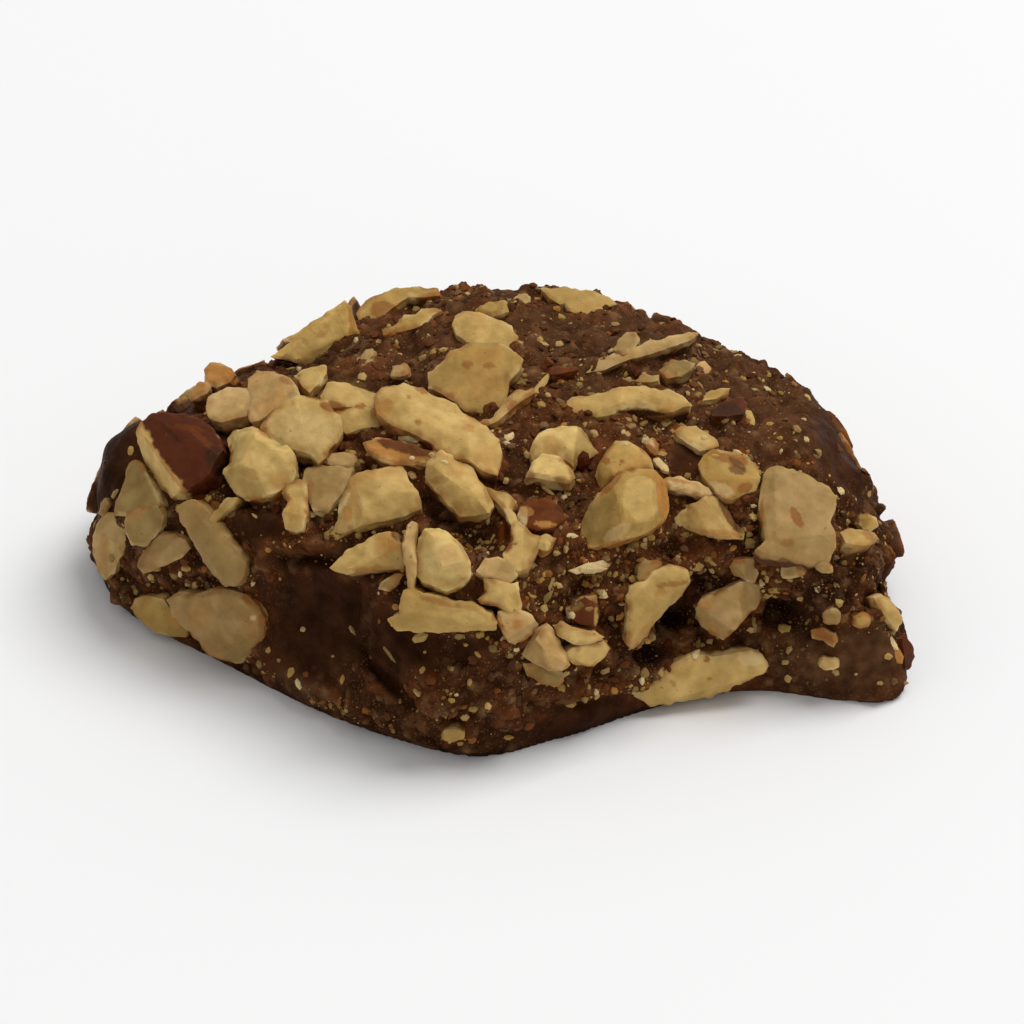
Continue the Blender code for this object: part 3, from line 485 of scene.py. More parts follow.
# Outlines of the larger almonds: columns and rows round each one
almondOutlines = {
    "edgeTip": (208, 374, 213, 367, 222, 366, 232, 371, 236, 377, 230, 384, 218, 389, 208, 386),
    "standingWedge": (344, 302, 350, 308, 353, 320, 358, 335, 356, 350, 345, 357, 330, 360, 310, 364,
                      290, 361, 272, 357, 284, 349, 296, 338, 305, 328, 321, 318, 335, 309),
    "backLeftSlab": (363, 309, 367, 303, 380, 297, 400, 293, 420, 290, 438, 291, 440, 298, 424, 301,
                     408, 302, 398, 309, 386, 317, 372, 323, 360, 322, 358, 316),
    "backLeftBit": (384, 332, 392, 326, 404, 320, 416, 318, 421, 309, 433, 307, 441, 310, 432, 317,
                    426, 326, 412, 332, 395, 336, 386, 337),
    "smallWedge": (295, 378, 303, 374, 316, 372, 324, 372, 326, 378, 318, 388, 310, 396, 304, 391),
    "pinkBlock": (213, 402, 224, 394, 240, 387, 252, 386, 254, 396, 250, 410, 247, 420, 236, 423,
                  224, 428, 213, 424, 210, 412),
    "orangeBlock": (250, 382, 262, 377, 276, 378, 290, 384, 297, 393, 300, 401, 288, 409, 274, 418,
                    262, 427, 252, 428, 248, 415, 252, 400),
    "creamDiamond": (284, 410, 298, 402, 312, 404, 326, 409, 338, 421, 341, 434, 336, 445, 329, 449,
                     325, 458, 318, 463, 311, 455, 299, 453, 286, 449, 272, 440, 262, 430, 270, 419),
    "spottedBlock": (329, 390, 336, 385, 350, 389, 366, 393, 379, 399, 378, 409, 372, 414, 355, 413,
                     340, 413, 326, 411, 322, 400),
    "creamStrip": (338, 416, 352, 414, 370, 414, 381, 417, 385, 425, 378, 431, 362, 432, 348, 436,
                   338, 430, 334, 423),
    "longLeaf": (376, 400, 390, 392, 405, 384, 418, 388, 435, 393, 450, 399, 462, 412, 480, 424,
                 496, 440, 501, 458, 497, 474, 482, 472, 466, 464, 452, 462, 441, 456, 432, 446,
                 418, 438, 400, 430, 388, 424, 380, 415),
    "tooth": (431, 465, 443, 457, 458, 462, 472, 472, 484, 491, 491, 508, 488, 515, 474, 516,
              460, 514, 450, 503, 436, 490, 426, 478),
    "roundFlake": (429, 390, 430, 376, 440, 368, 452, 358, 468, 351, 486, 350, 502, 354, 514, 361,
                   521, 369, 517, 378, 508, 386, 505, 399, 499, 410, 484, 415, 466, 413, 455, 404,
                   442, 396),
    "paleBlock": (454, 328, 456, 319, 464, 315, 480, 318, 497, 325, 510, 331, 516, 341, 512, 352,
                  498, 355, 483, 350, 468, 346, 458, 338),
    "backLong": (541, 289, 560, 289, 585, 294, 606, 301, 628, 311, 622, 321, 604, 325, 585, 322,
                 566, 312, 550, 301),
    "upperPale": (613, 352, 618, 341, 626, 334, 635, 333, 637, 342, 632, 351, 622, 356),
    "upperSliver": (562, 374, 580, 366, 600, 360, 625, 354, 648, 346, 668, 339, 688, 334, 698, 334,
                    690, 342, 670, 350, 648, 357, 626, 363, 606, 371, 585, 374),
    "middleSliver": (563, 404, 575, 399, 590, 398, 605, 396, 620, 393, 640, 391, 655, 393, 670, 393,
                     680, 398, 690, 408, 680, 409, 672, 413, 660, 415, 645, 411, 628, 410, 615, 416,
                     598, 418, 580, 416, 567, 411),
    "tailFlake": (660, 372, 672, 364, 686, 361, 694, 365, 688, 374, 680, 380, 668, 382),
    "stripe": (703, 404, 706, 396, 716, 391, 727, 391, 726, 398, 714, 404),
    "redBlock": (712, 412, 725, 403, 740, 401, 745, 408, 742, 417, 728, 420, 714, 418),
    "crossingSliver": (468, 428, 480, 425, 495, 419, 503, 410, 512, 398, 520, 392, 532, 390, 535, 395,
                       522, 405, 508, 416, 496, 425, 480, 431),
    "brightNugget": (531, 452, 534, 444, 541, 436, 552, 432, 566, 430, 578, 433, 589, 439, 599, 446,
                     590, 453, 578, 459, 572, 468, 564, 461, 552, 457, 541, 461, 534, 458),
    "brightMoon": (527, 480, 533, 466, 543, 458, 556, 461, 566, 469, 573, 480, 569, 486, 555, 484,
                   540, 481),
    "oliveBack": (596, 476, 601, 465, 608, 455, 617, 447, 628, 446, 640, 452, 650, 461, 652, 471,
                  640, 474, 626, 477, 614, 483, 602, 489),
    "bigNugget": (608, 489, 617, 480, 626, 474, 638, 471, 650, 473, 661, 479, 667, 490, 668, 505,
                  665, 519, 652, 529, 638, 535, 622, 541, 606, 545, 592, 543, 585, 533, 586, 519,
                  593, 505, 600, 495),
    "thinPale": (660, 483, 668, 479, 680, 480, 692, 484, 706, 488, 712, 494, 700, 497, 688, 494,
                 672, 490, 664, 488),
    "upperSmall": (675, 436, 685, 432, 696, 430, 703, 436, 712, 441, 716, 449, 710, 452, 699, 452,
                   688, 446, 678, 441),
    "oliveFlake": (699, 468, 703, 460, 715, 456, 728, 458, 742, 462, 752, 467, 757, 480, 753, 491,
                   742, 494, 732, 499, 722, 497, 712, 488, 703, 479),
    "skinWedge": (676, 518, 684, 511, 700, 503, 712, 497, 719, 500, 724, 508, 733, 520, 742, 533,
                  741, 539, 720, 538, 700, 533, 686, 529, 678, 524),
    "paleSlab": (764, 478, 770, 471, 782, 472, 796, 477, 810, 484, 824, 492, 832, 501, 831, 514,
                 826, 524, 830, 535, 833, 548, 828, 560, 812, 561, 798, 559, 780, 556, 764, 553,
                 758, 548, 766, 540, 764, 525, 760, 510, 762, 495),
    "rightHook": (838, 533, 845, 529, 858, 532, 870, 534, 876, 542, 868, 549, 855, 550, 844, 546),
    "skinBlock": (141, 441, 148, 432, 160, 423, 176, 418, 196, 420, 212, 429, 222, 442, 227, 455,
                  219, 468, 213, 480, 206, 486, 196, 492, 184, 494, 169, 495, 157, 484, 148, 468,
                  141, 452),
    "leftUpperBit": (101, 512, 103, 503, 109, 499, 112, 503, 108, 510, 104, 515),
    "leftOlive": (137, 462, 144, 467, 151, 477, 157, 490, 162, 503, 159, 512, 148, 514, 131, 514,
                  117, 515, 121, 502, 125, 489, 128, 476, 132, 466),
    "leftOliveLow": (131, 512, 145, 508, 160, 506, 165, 516, 163, 527, 157, 536, 149, 543, 137, 543,
                     131, 531),
    "leftSmall": (144, 556, 152, 546, 161, 535, 175, 534, 186, 539, 190, 548, 182, 556, 168, 561,
                  158, 566, 149, 570, 143, 564),
    "leftClub": (183, 507, 188, 502, 196, 502, 204, 507, 212, 518, 222, 532, 233, 546, 245, 560,
                 246, 573, 240, 583, 228, 583, 216, 574, 206, 558, 199, 545, 191, 530, 184, 518),
    "leftEdge": (98, 524, 107, 514, 116, 514, 119, 521, 129, 530, 132, 543, 127, 552, 121, 560,
                 117, 571, 107, 577, 99, 568, 95, 545),
    "leftSliver": (211, 519, 220, 511, 230, 500, 238, 500, 233, 508, 223, 516, 216, 524),
    "cauliflower": (223, 432, 230, 426, 242, 428, 253, 429, 262, 433, 272, 441, 286, 449, 294, 460,
                    295, 472, 288, 484, 275, 491, 259, 497, 244, 496, 233, 490, 228, 480, 222, 472,
                    230, 461, 232, 452, 226, 443),
    "jagged": (289, 489, 300, 485, 307, 487, 309, 501, 308, 515, 303, 530, 297, 532, 288, 528,
               287, 516, 292, 506, 285, 497),
    "greySlab": (310, 471, 318, 466, 328, 470, 342, 472, 353, 475, 349, 487, 343, 497, 334, 507,
                 330, 514, 316, 512, 309, 500, 306, 484),
    "brightSlab": (331, 527, 338, 517, 341, 505, 348, 494, 352, 486, 365, 479, 384, 472, 401, 466,
                   405, 473, 409, 484, 417, 496, 420, 509, 404, 516, 385, 521, 365, 526, 345, 530),
    "halfMoon": (328, 464, 334, 457, 344, 455, 355, 460, 360, 467, 350, 470, 338, 469),
    "skinStrip": (367, 447, 378, 441, 392, 441, 406, 446, 422, 450, 438, 453, 432, 461, 415, 466,
                  398, 466, 384, 463, 372, 456),
    "creamWedge": (336, 569, 343, 560, 352, 552, 366, 545, 380, 536, 390, 533, 399, 538, 403, 549,
                   405, 561, 402, 568, 385, 569, 368, 570, 350, 574),
    "smallTriangle": (381, 588, 385, 581, 394, 575, 402, 575, 398, 583, 390, 589),
    "uprightSliver": (408, 529, 412, 524, 417, 528, 415, 545, 416, 560, 416, 575, 414, 590, 409, 591,
                      407, 575, 406, 560, 404, 545),
    "creamNugget": (421, 541, 428, 534, 440, 532, 451, 538, 462, 548, 467, 560, 470, 573, 466, 581,
                    457, 585, 447, 588, 436, 585, 425, 580, 417, 572, 417, 556),
    "wideSlab": (393, 617, 404, 611, 405, 600, 407, 592, 415, 590, 425, 594, 440, 597, 455, 603,
                 470, 603, 480, 608, 490, 613, 495, 620, 493, 627, 480, 628, 460, 629, 440, 630,
                 415, 630, 400, 630, 394, 625),
    "longStrip": (484, 487, 495, 493, 508, 500, 517, 506, 512, 516, 517, 527, 526, 535, 537, 539,
                  536, 549, 532, 558, 527, 569, 517, 571, 507, 566, 504, 556, 511, 545, 512, 531,
                  505, 516, 497, 505, 488, 496),
    "stripFoot": (537, 540, 545, 537, 554, 541, 549, 549, 542, 554, 536, 548),
    "amberBit": (520, 508, 533, 503, 548, 505, 560, 512, 562, 520, 552, 529, 538, 532, 524, 529,
                 519, 519),
    "smallCream": (478, 573, 486, 562, 498, 560, 510, 566, 515, 576, 506, 583, 494, 580, 484, 577),
    "greyCream": (485, 580, 496, 582, 508, 585, 516, 583, 515, 592, 519, 603, 519, 612, 508, 611,
                  497, 605, 483, 603, 479, 599, 487, 592),
    "pointDown": (500, 613, 512, 608, 522, 612, 529, 615, 534, 623, 530, 632, 521, 638, 515, 643,
                  509, 640, 504, 630, 500, 622),
    "stackedLump": (534, 640, 540, 632, 549, 627, 554, 633, 558, 643, 563, 652, 566, 662, 558, 669,
                    546, 667, 534, 662, 525, 655, 528, 646),
    "oliveUnder": (524, 664, 534, 663, 548, 668, 558, 672, 561, 680, 552, 684, 540, 680, 528, 675),
    "amberBlock": (570, 610, 576, 603, 584, 599, 593, 603, 597, 614, 593, 624, 578, 622, 571, 618),
    "brightBitTop": (554, 626, 562, 622, 570, 627, 582, 629, 593, 631, 602, 636, 590, 641, 578, 642,
                     566, 638, 557, 634),
    "brightBitLow": (563, 652, 570, 646, 583, 641, 600, 640, 607, 648, 600, 656, 590, 662, 575, 661),
    "brightShard": (571, 570, 580, 566, 590, 563, 600, 562, 607, 566, 600, 571, 588, 571, 578, 574),
    "brightLeaf": (625, 640, 626, 625, 628, 608, 628, 596, 632, 588, 645, 583, 652, 575, 662, 569,
                   675, 567, 684, 571, 688, 581, 684, 590, 674, 598, 664, 608, 655, 620, 648, 632,
                   640, 640, 630, 645),
    "shadowBlock": (698, 607, 703, 598, 714, 594, 728, 588, 740, 582, 750, 581, 758, 588, 761, 598,
                    757, 607, 746, 614, 738, 622, 730, 632, 724, 637, 712, 632, 703, 625, 697, 617),
    "lowLeaf": (637, 692, 640, 684, 652, 678, 664, 671, 676, 663, 690, 657, 710, 657, 730, 653,
                750, 650, 760, 652, 764, 662, 758, 671, 745, 678, 732, 684, 722, 692, 708, 699,
                690, 700, 670, 702, 652, 701),
    "roundSlice": (170, 600, 176, 594, 186, 592, 200, 593, 215, 590, 232, 590, 248, 595, 260, 604,
                   267, 616, 266, 630, 260, 643, 250, 655, 240, 663, 228, 662, 217, 657, 209, 647,
                   204, 638, 197, 632, 188, 625, 178, 616),
    "behindSlice": (134, 607, 140, 598, 152, 595, 166, 597, 172, 606, 180, 617, 189, 627, 186, 635,
                    172, 634, 160, 630, 148, 622, 138, 614),
    "faintFlake": (731, 566, 734, 560, 745, 559, 757, 560, 757, 572, 754, 580, 744, 577, 736, 574),
    "notchEdge": (872, 598, 880, 595, 888, 602, 896, 612, 899, 622, 895, 629, 887, 620, 878, 609),
    "footSkin": (900, 640, 905, 638, 911, 650, 914, 656, 909, 668, 904, 668, 901, 655),
    "footAmber": (815, 630, 824, 627, 834, 632, 838, 640, 834, 646, 824, 638, 816, 636),
}

# Marks on the almonds: column, row, half length, half width, turn, tone, strength, one almond's name
almondMarks = [
    (796, 514, 4.0, 4.5, 0, "grey", 0.65, "paleSlab"), (770, 484, 1.4, 0.6, 20, "oliveAndShade", 0.5, "paleSlab"),
    (446, 612, 4.5, 2.0, -4, "tan", 0.60, "wideSlab"), (213, 546, 4.5, 2.5, -54, "grey", 0.70, "leftClub"),
    (655, 600, 4.0, 1.2, 48, "tan", 0.35, "brightLeaf"), (584, 307, 4.5, 2.0, -20, "tan", 0.45, "backLong"),
    (474, 386, 3.0, 2.0, -5, "oliveAndShade", 0.20, "roundFlake"), (314, 339, 3.0, 2.0, 60, "bright", 0.50, "standingWedge"),
    (446, 560, 1.6, 1.4, 0, "white", 0.25, "creamNugget"), (305, 428, 2.6, 1.6, -10, "white", 0.20, "creamDiamond"),
    (195, 451, 9.0, 2.25, -54, "skin", 1.0, "skinBlock"), (168, 469, 3.0, 0.15, -54, "orange", 0.7, "skinBlock"),
    (333, 407, 0.95, 0.42, -8, "stain", 0.9),
    (360, 406, 0.45, 0.20, 0, "stain", 0.9), (467, 364, 0.40, 0.28, 0, "stain", 0.7),
    (489, 366, 0.45, 0.22, 0, "stain", 0.7), (449, 396, 0.50, 0.22, 10, "stain", 0.7),
    (509, 388, 0.30, 1.30, 8, "stain", 0.45), (382, 410, 0.90, 0.60, 40, "orange", 0.7),
    (418, 422, 0.24, 0.20, 0, "stain", 0.7), (409, 397, 0.18, 0.16, 0, "stain", 0.6),
    (421, 390, 0.60, 0.22, -25, "stain", 0.7), (468, 428, 0.50, 0.30, 0, "orange", 0.6),
    (354, 332, 0.35, 1.70, 0, "orange", 0.8), (346, 358, 0.38, 0.42, 0, "stain", 0.8),
    (322, 334, 0.45, 0.25, 30, "orange", 0.6), (216, 369, 0.50, 0.30, 10, "orange", 0.9),
    (272, 402, 1.20, 0.80, 20, "orange", 0.45), (286, 381, 0.60, 0.22, -25, "stain", 0.6),
    (250, 474, 0.80, 0.40, -20, "orange", 0.45), (440, 480, 0.60, 0.32, 0, "stain", 0.45),
    (444, 496, 0.35, 0.28, 0, "stain", 0.4), (393, 546, 0.50, 0.35, -30, "orange", 0.8),
    (398, 536, 0.60, 0.35, -40, "skin", 0.7), (664, 492, 0.45, 1.50, 5, "orange", 0.8),
    (655, 478, 0.90, 0.35, -35, "orange", 0.6), (612, 483, 1.20, 0.28, 48, "stain", 0.8),
    (625, 542, 2.20, 0.20, 12, "stain", 0.8), (622, 461, 0.20, 0.15, 0, "stain", 0.9),
    (606, 461, 0.30, 0.28, 0, "stain", 0.8), (731, 459, 1.30, 0.35, -12, "stain", 0.8),
    (738, 464, 0.80, 0.25, -35, "skin", 0.6), (712, 452, 0.50, 0.30, 0, "stain", 0.6),
    (728, 515, 1.30, 0.30, -60, "skin", 0.8), (739, 530, 0.70, 0.20, -65, "skin", 0.8),
    (733, 510, 0.60, 0.30, -45, "skin", 0.8), (722, 533, 1.40, 0.22, -5, "orange", 0.7),
    (797, 518, 0.85, 0.33, -62, "stain", 0.9), (787, 543, 0.50, 0.28, 10, "stain", 0.55),
    (761, 515, 1.60, 0.16, 88, "stain", 0.7), (640, 413, 1.70, 0.20, -2, "skin", 0.9),
    (680, 481, 1.30, 0.12, -8, "orange", 0.7), (707, 659, 0.28, 0.26, 0, "stain", 0.8),
    (673, 683, 0.30, 0.16, -60, "stain", 0.5), (710, 679, 0.20, 0.15, 0, "stain", 0.6),
    (751, 659, 0.90, 0.50, 0, "white", 0.5), (672, 584, 1.20, 0.20, 8, "stain", 0.65),
    (660, 593, 0.50, 0.25, 0, "orange", 0.45), (518, 624, 0.40, 0.30, 30, "orange", 0.8),
    (495, 616, 0.25, 0.40, -15, "stain", 0.7), (104, 552, 0.35, 1.50, 0, "orange", 0.4),
    # the white spot at 253, 618 on roundSlice is a painted glint
    (174, 620, 0.50, 0.28, -60, "orange", 0.6), (253, 618, 0.22, 0.22, 0, "white", 0.7),
    (385, 312, 1.20, 0.70, -30, "stain", 0.7), (430, 299, 1.00, 0.25, 0, "stain", 0.6),
    (310, 490, 0.90, 0.25, 85, "stain", 0.5), (344, 503, 0.90, 0.16, 60, "white", 0.6),
    (347, 513, 0.35, 0.60, 0, "orange", 0.8), (406, 448, 2.20, 0.42, -14, "skin", 0.85),
    (868, 535, 0.50, 0.26, -40, "stain", 0.6), (582, 616, 0.60, 0.45, 0, "skin", 0.5),
    (568, 613, 0.20, 0.50, 0, "white", 0.8), (596, 617, 0.14, 0.70, 0, "cream", 0.8),
    (523, 516, 0.40, 0.70, 0, "white", 0.6), (505, 536, 0.55, 1.20, 8, "amber", 0.9),
    (575, 607, 0.6, 0.3, 20, "oliveAndShade", 0.6), (262, 432, 0.8, 0.2, -35, "orange", 0.5),
    # on bigNugget the olive mark is painted shade on its left facet and the bright mark painted light on its middle
    # facet
    (598, 520, 1.5, 1.1, 60, "oliveAndShade", 0.65, "bigNugget"), (642, 498, 1.3, 1.7, 0, "bright", 0.7, "bigNugget"),
    (664, 495, 0.55, 1.9, 5, "orange", 0.9, "bigNugget"), (616, 533, 1.2, 0.40, 30, "white", 0.35, "bigNugget"),
    (470, 618, 1.2, 0.5, -8, "bright", 0.6, "wideSlab"), (440, 601, 1.6, 0.3, -14, "stain", 0.5, "wideSlab"),
    (738, 470, 0.7, 0.3, -10, "skin", 0.7, "oliveFlake"),
    (722, 489, 1.0, 0.4, -20, "white", 0.4, "oliveFlake"), (745, 488, 0.6, 0.4, 20, "stain", 0.8, "oliveFlake"),
    (206, 442, 1.9, 0.22, -40, "amber", 0.9, "skinBlock"), (190, 428, 1.2, 0.20, -10, "amber", 0.7, "skinBlock"),
    (218, 462, 1.2, 0.8, -60, "dark", 0.7, "skinBlock"), (170, 432, 1.0, 0.16, -45, "dark", 0.6, "skinBlock"),
    (545, 524, 0.8, 0.2, -5, "orange", 0.9, "amberBit"), (527, 512, 0.5, 0.4, 0, "orange", 0.6, "amberBit"),
]

# Broken faces of some of them: the way each slopes down, how far out it starts (mm), slope, and the shade painted on
# that face, darker below 0 and lighter above
almondFaces = {
    "bigNugget": [(192, 0.6, 0.75, -0.24), (8, 1.8, 0.9, -0.14), (-80, 1.7, 0.5, 0.06), (95, 1.5, 0.6, -0.06)],
    "shadowBlock": [(12, 1.0, 0.95, -0.16), (-125, 0.8, 0.6, -0.18), (100, 0.9, 0.7, 0.08)],
    "skinBlock": [(-144, 1.15, 1.3, 0.10), (60, 1.6, 0.4, 0.0)],
    "wideSlab": [(82, 0.1, 0.35, -0.10), (-95, 0.6, 0.7, 0.04)],
    "creamWedge": [(-60, 0.4, 0.6, -0.12), (120, 0.5, 0.4, 0.08)],
    "creamNugget": [(200, 0.7, 0.6, -0.10), (60, 0.8, 0.5, 0.08), (-70, 1.0, 0.8, -0.06)],
    "cauliflower": [(150, 0.9, 0.7, -0.08), (-40, 0.9, 0.6, -0.05), (60, 1.1, 0.6, 0.06), (-120, 1.2, 0.8, -0.12)],
    "brightSlab": [(205, 1.3, 0.6, -0.10), (-60, 0.6, 0.45, -0.05), (60, 0.9, 0.35, 0.10)],
    "tooth": [(225, 0.5, 0.6, -0.10), (45, 0.6, 0.4, 0.06)],
    "longLeaf": [(-125, 0.5, 0.35, -0.06), (55, 0.4, 0.35, 0.08), (-40, 2.6, 0.5, 0.02)],
    "brightLeaf": [(-40, 0.4, 0.7, -0.12), (140, 0.3, 0.4, 0.06)],
    "lowLeaf": [(105, 0.4, 0.4, 0.06), (-75, 0.5, 0.8, -0.08)],
    "paleSlab": [(175, 1.7, 0.5, -0.10), (-85, 2.2, 0.6, -0.06)],
    "brightNugget": [(-10, 0.9, 0.9, -0.20), (120, 0.5, 0.5, 0.06), (-130, 0.6, 0.5, -0.05)],
    "standingWedge": [(-60, 0.9, 0.5, -0.08), (125, 0.6, 0.4, 0.06)],
    "roundSlice": [(100, 1.2, 0.25, 0.05), (-70, 1.4, 0.5, -0.05)],
    "leftClub": [(40, 0.3, 0.4, 0.04), (-145, 0.4, 0.5, -0.10)],
    "skinWedge": [(40, 0.5, 0.7, -0.10), (200, 0.9, 0.5, 0.04)],
    "stackedLump": [(200, 0.3, 0.8, -0.15), (60, 0.3, 0.5, 0.08)],
    "pointDown": [(110, 0.3, 0.5, 0.08), (-60, 0.4, 0.8, -0.10)],
}

# How almonds are made and placed, in mm, or as shares of a size
almondSize = {
    "small": 2.5,                      # shorter ones get the finer grain
    "sink": 1.0,
    "footShare": 0.92,
    "topTilt": 0.06,
    "patch": 2.6,                      # how much of the lump one lies on
    "longestStretch": 1.45,
    "steepestSight": 0.55,
    "level": 0.6,                      # share of the rise at which the outline is on the drawing
    "grow": 0.11,                      # added round an outline for what the remesh rounds off
    "lift": 0.10,                      # how much more an almond shows over the coat than its block
    "growReach": 0.6,
    "corners": 9,
    "voxel": 0.13,
    "voxelSmall": 0.10,
    "voxelBack": 0.19,
    "fullGrid": 0.9,                   # most of the remesh grid that one fills
    "overTable": 0.15,
    "shown": 0.05,                     # less turned to the eye than this is hidden
    "crease": math.radians(32),
    "blockTop": 1.2,                   # heights as shares of the rise
    "brokenTop": 1.12,
    "leastRounding": 0.16,
}

# Faces that break off the top where they aren't listed
breaking = {
    "moreFaces": 1.1,                  # for each mm of half length
    "deepest": 0.55,                   # share of the rise that one may take off
    "depth": (0.35, 1.0),
    "away": (0.0, 0.75),
    "steepest": 1.3,
    # painted shade of each broken face and of the top, darker below 0 and lighter above
    "shade": (-0.16, 0.08),
    "paintedTopShade": (-0.02, 0.06),
}

# Relief and colours of an almond. Layers give the noise size in mm and what is added to the seed.
almondLook = {
    "steps": (1.7, 0, 5, 0.7),         # and the sharpness, and the share in the lumps
    "lumps": (1.1, 1),
    "grain": [(0.45, 2, 0.024), (0.25, 3, 0.017)],
    "tornEdge": (0.50, 14, 0.07, 0.45, 0.35),
    "brightness": (0.94, 1.06),
    "shades": [(1.9, 4, 0.10), (0.6, 5, 0.10)],
    "shadeTint": (1.0, 1.1, 1.4),
    # patches: noise size, seed, where they begin and are full
    "crumbly": (0.8, 6, -0.3, 0.5),
    "golden": (1.6, 12, 0.2, 0.8),
    "browned": (1.1, 13, -0.15, 0.3),
    "streaks": (1.2, 16, -0.2, 0.5),
    "stained": (1.4, 8, 0.45, 0.75),
    "streakStretch": (1.0, 2.5, 1.0),
    # rims: how far in they reach and how far they fade, mm, and the wavering's size, seed and amount
    "crumblyRim": (0.32, 0.3, 0.5, 15, 0.0),
    "brownedRim": (0.34, 0.25, 0.5, 15, 0.12),
    "rusty": (0.30, 0.25, 0.6, 17, 0.34),
    "smear": (0.10, 0.2, 0.8, 10, 0.22),
    # strengths
    "crumblyShare": 0.45,
    "goldenShare": (0.1, 0.55),
    "goldenLight": 1.05,
    "brownedShare": (0.35, 0.95),
    "streakShare": 0.7,
    "stainShare": 0.7,
    "rustyShare": 0.65,
    "smearShare": 0.9,
    "skinChance": 0.25,
    "skinSide": (0.8, 9, 0.2),
    "markEdge": 6.0,
    "markWaver": (0.4, 7, 0.22),
    "markLimits": (0.3, 0.55),
}

# Almonds scattered over the sides that the drawing doesn't show
scatter = {
    "seed": 11,
    "count": 66,
    "tries": 4000,
    "gap": 0.86,
    "cuts": ("slab", "brick", "nugget", "lens", "wedge", "sliver", "shard", "moon"),
    "tones": ("cream", "cream", "bright", "pink", "tan", "tan", "oliveAndShade", "grey", "orange", "amber"),
    "climb": (0.15, 0.97),
    "overTable": 0.6,
    "length": (2.4, 6.4),
    "width": (0.45, 0.8),
    "sliverWidth": 0.24,
    "rise": (0.4, 1.0),
    "lowRise": 0.15,
    "limit": 0.0,                      # most that one may face the eye
    "fade": 0.7,
    "bareTip": 24.5,                   # none beyond this x
    "corners": 11,
}


def cutOutline(cut, length, width, corners, draw):
    squareness, taper, bow, rough = almondCuts[cut][:4]
    points = []
    for k in range(corners):
        angle = math.tau * (k + 0.5 + 0.3 * draw.uniform(-1, 1)) / corners
        along = math.copysign(abs(math.cos(angle)) ** (2 / squareness), math.cos(angle)) / 2
        beside = math.copysign(abs(math.sin(angle)) ** (2 / squareness), math.sin(angle)) / 2
        beside = beside * (1 - taper * (along + 0.5)) + bow * (0.25 - along * along)
        wobble = 1 + rough * draw.uniform(-1, 1)
        points.append((along * length * wobble, beside * width * wobble))
    return np.array(points)


def insideDistance(spots, outline):
    # how far inside an outline each spot is, in mm
    start, end = outline, np.roll(outline, -1, axis=0)
    side = end - start
    offset = spots[:, None] - start
    share = np.clip(np.sum(offset * side, axis=2) / np.sum(side * side, axis=1), 0, 1)
    distance = np.linalg.norm(offset - share[..., None] * side, axis=2).min(axis=1)
    above = start[:, 1] > spots[:, 1, None]
    crosses = above != (end[:, 1] > spots[:, 1, None])
    run = side[:, 0] * (spots[:, 1, None] - start[:, 1]) / np.where(side[:, 1] == 0, 1e-9, side[:, 1])
    inside = np.sum(crosses & (spots[:, 0, None] < start[:, 0] + run), axis=1) % 2 == 1
    return np.where(inside, distance, 0)


def brokenFaces(half, rise, count, draw):
    # slanting faces that break off the top: across, slope, how far out each starts, painted shade
    faces = []
    for _ in range(count + int(half.max() * breaking["moreFaces"])):
        angle = draw.uniform(0, math.tau)
        across = np.array((math.cos(angle), math.sin(angle)))
        reach = float(np.abs(across) @ half)
        away = draw.uniform(*breaking["away"]) * reach
        depth = draw.uniform(*breaking["depth"]) * breaking["deepest"] * rise
        slope = min(depth / (reach - away), breaking["steepest"])
        faces.append((across, slope, away, draw.uniform(*breaking["shade"])))
    return faces


def breakTop(faces, rise):
    bpy.ops.object.mode_set(mode="EDIT")
    for across, slope, away, _ in faces:
        bpy.ops.mesh.select_all(action="SELECT")
        bpy.ops.mesh.bisect(
            plane_co=(across[0] * away, across[1] * away, rise), plane_no=(across[0] * slope, across[1] * slope, 1),
            use_fill=True, clear_outer=True,
        )
    bpy.ops.object.mode_set(mode="OBJECT")


def paintedFacetShades(spots, faces, rise, draw):
    # the shade painted on the broken face that each spot is on
    top, shade = np.full(len(spots), rise), np.full(len(spots), draw.uniform(*breaking["paintedTopShade"]))
    for across, slope, away, paintedFacetShade in faces:
        face = rise - slope * (spots @ across - away)
        shade = np.where(face < top, paintedFacetShade, shade)
        top = np.minimum(top, face)
    return shade


def makeBlock(name, outline, rise, sink, draw):
    # a block with the outline on top, drawn in at its foot
    tilt = draw.uniform(-1, 1) * almondSize["topTilt"], draw.uniform(-1, 1) * almondSize["topTilt"]
    bpy.ops.mesh.primitive_cylinder_add(vertices=len(outline), radius=1, depth=2)
    block = bpy.context.object
    block.name = name
    area = np.sum(outline[:, 0] * np.roll(outline[:, 1], -1) - outline[:, 1] * np.roll(outline[:, 0], -1))
    ordered = outline if area < 0 else outline[::-1]    # the primitive's corners run clockwise from +Y
    for vertex in block.data.vertices:
        spoke = round(math.atan2(vertex.co.x, vertex.co.y) / math.tau * len(outline)) % len(outline)
        along, beside = ordered[spoke]
        top = vertex.co.z > 0
        share = 1.0 if top else almondSize["footShare"]
        lift = rise * almondSize["blockTop"] + tilt[0] * along + tilt[1] * beside if top else -sink
        vertex.co = (along * share, beside * share, lift)
    return block


def rimOf(distance, points, seed, layer):
    # 1 at a rim and 0 further in, with a wavering edge
    reach, fade, size, shift, waver = layer
    return ramp(reach - distance + waver * softNoise(points, size, seed + shift), 0, fade)


def almondRelief(points, edge, lumpy, seed):
    size, shift, sharpness, share = almondLook["steps"]
    steps = np.tanh(sharpness * softNoise(points, size, seed + shift))
    size, shift = almondLook["lumps"]
    height = lumpy * (softNoise(points, size, seed + shift) + share * steps)
    for size, shift, amount in almondLook["grain"]:
        height += amount * softNoise(points, size, seed + shift)
    size, shift, amount, reach, fade = almondLook["tornEdge"]
    return height + amount * ramp(reach - edge, 0, fade) * softNoise(points, size, seed + shift)


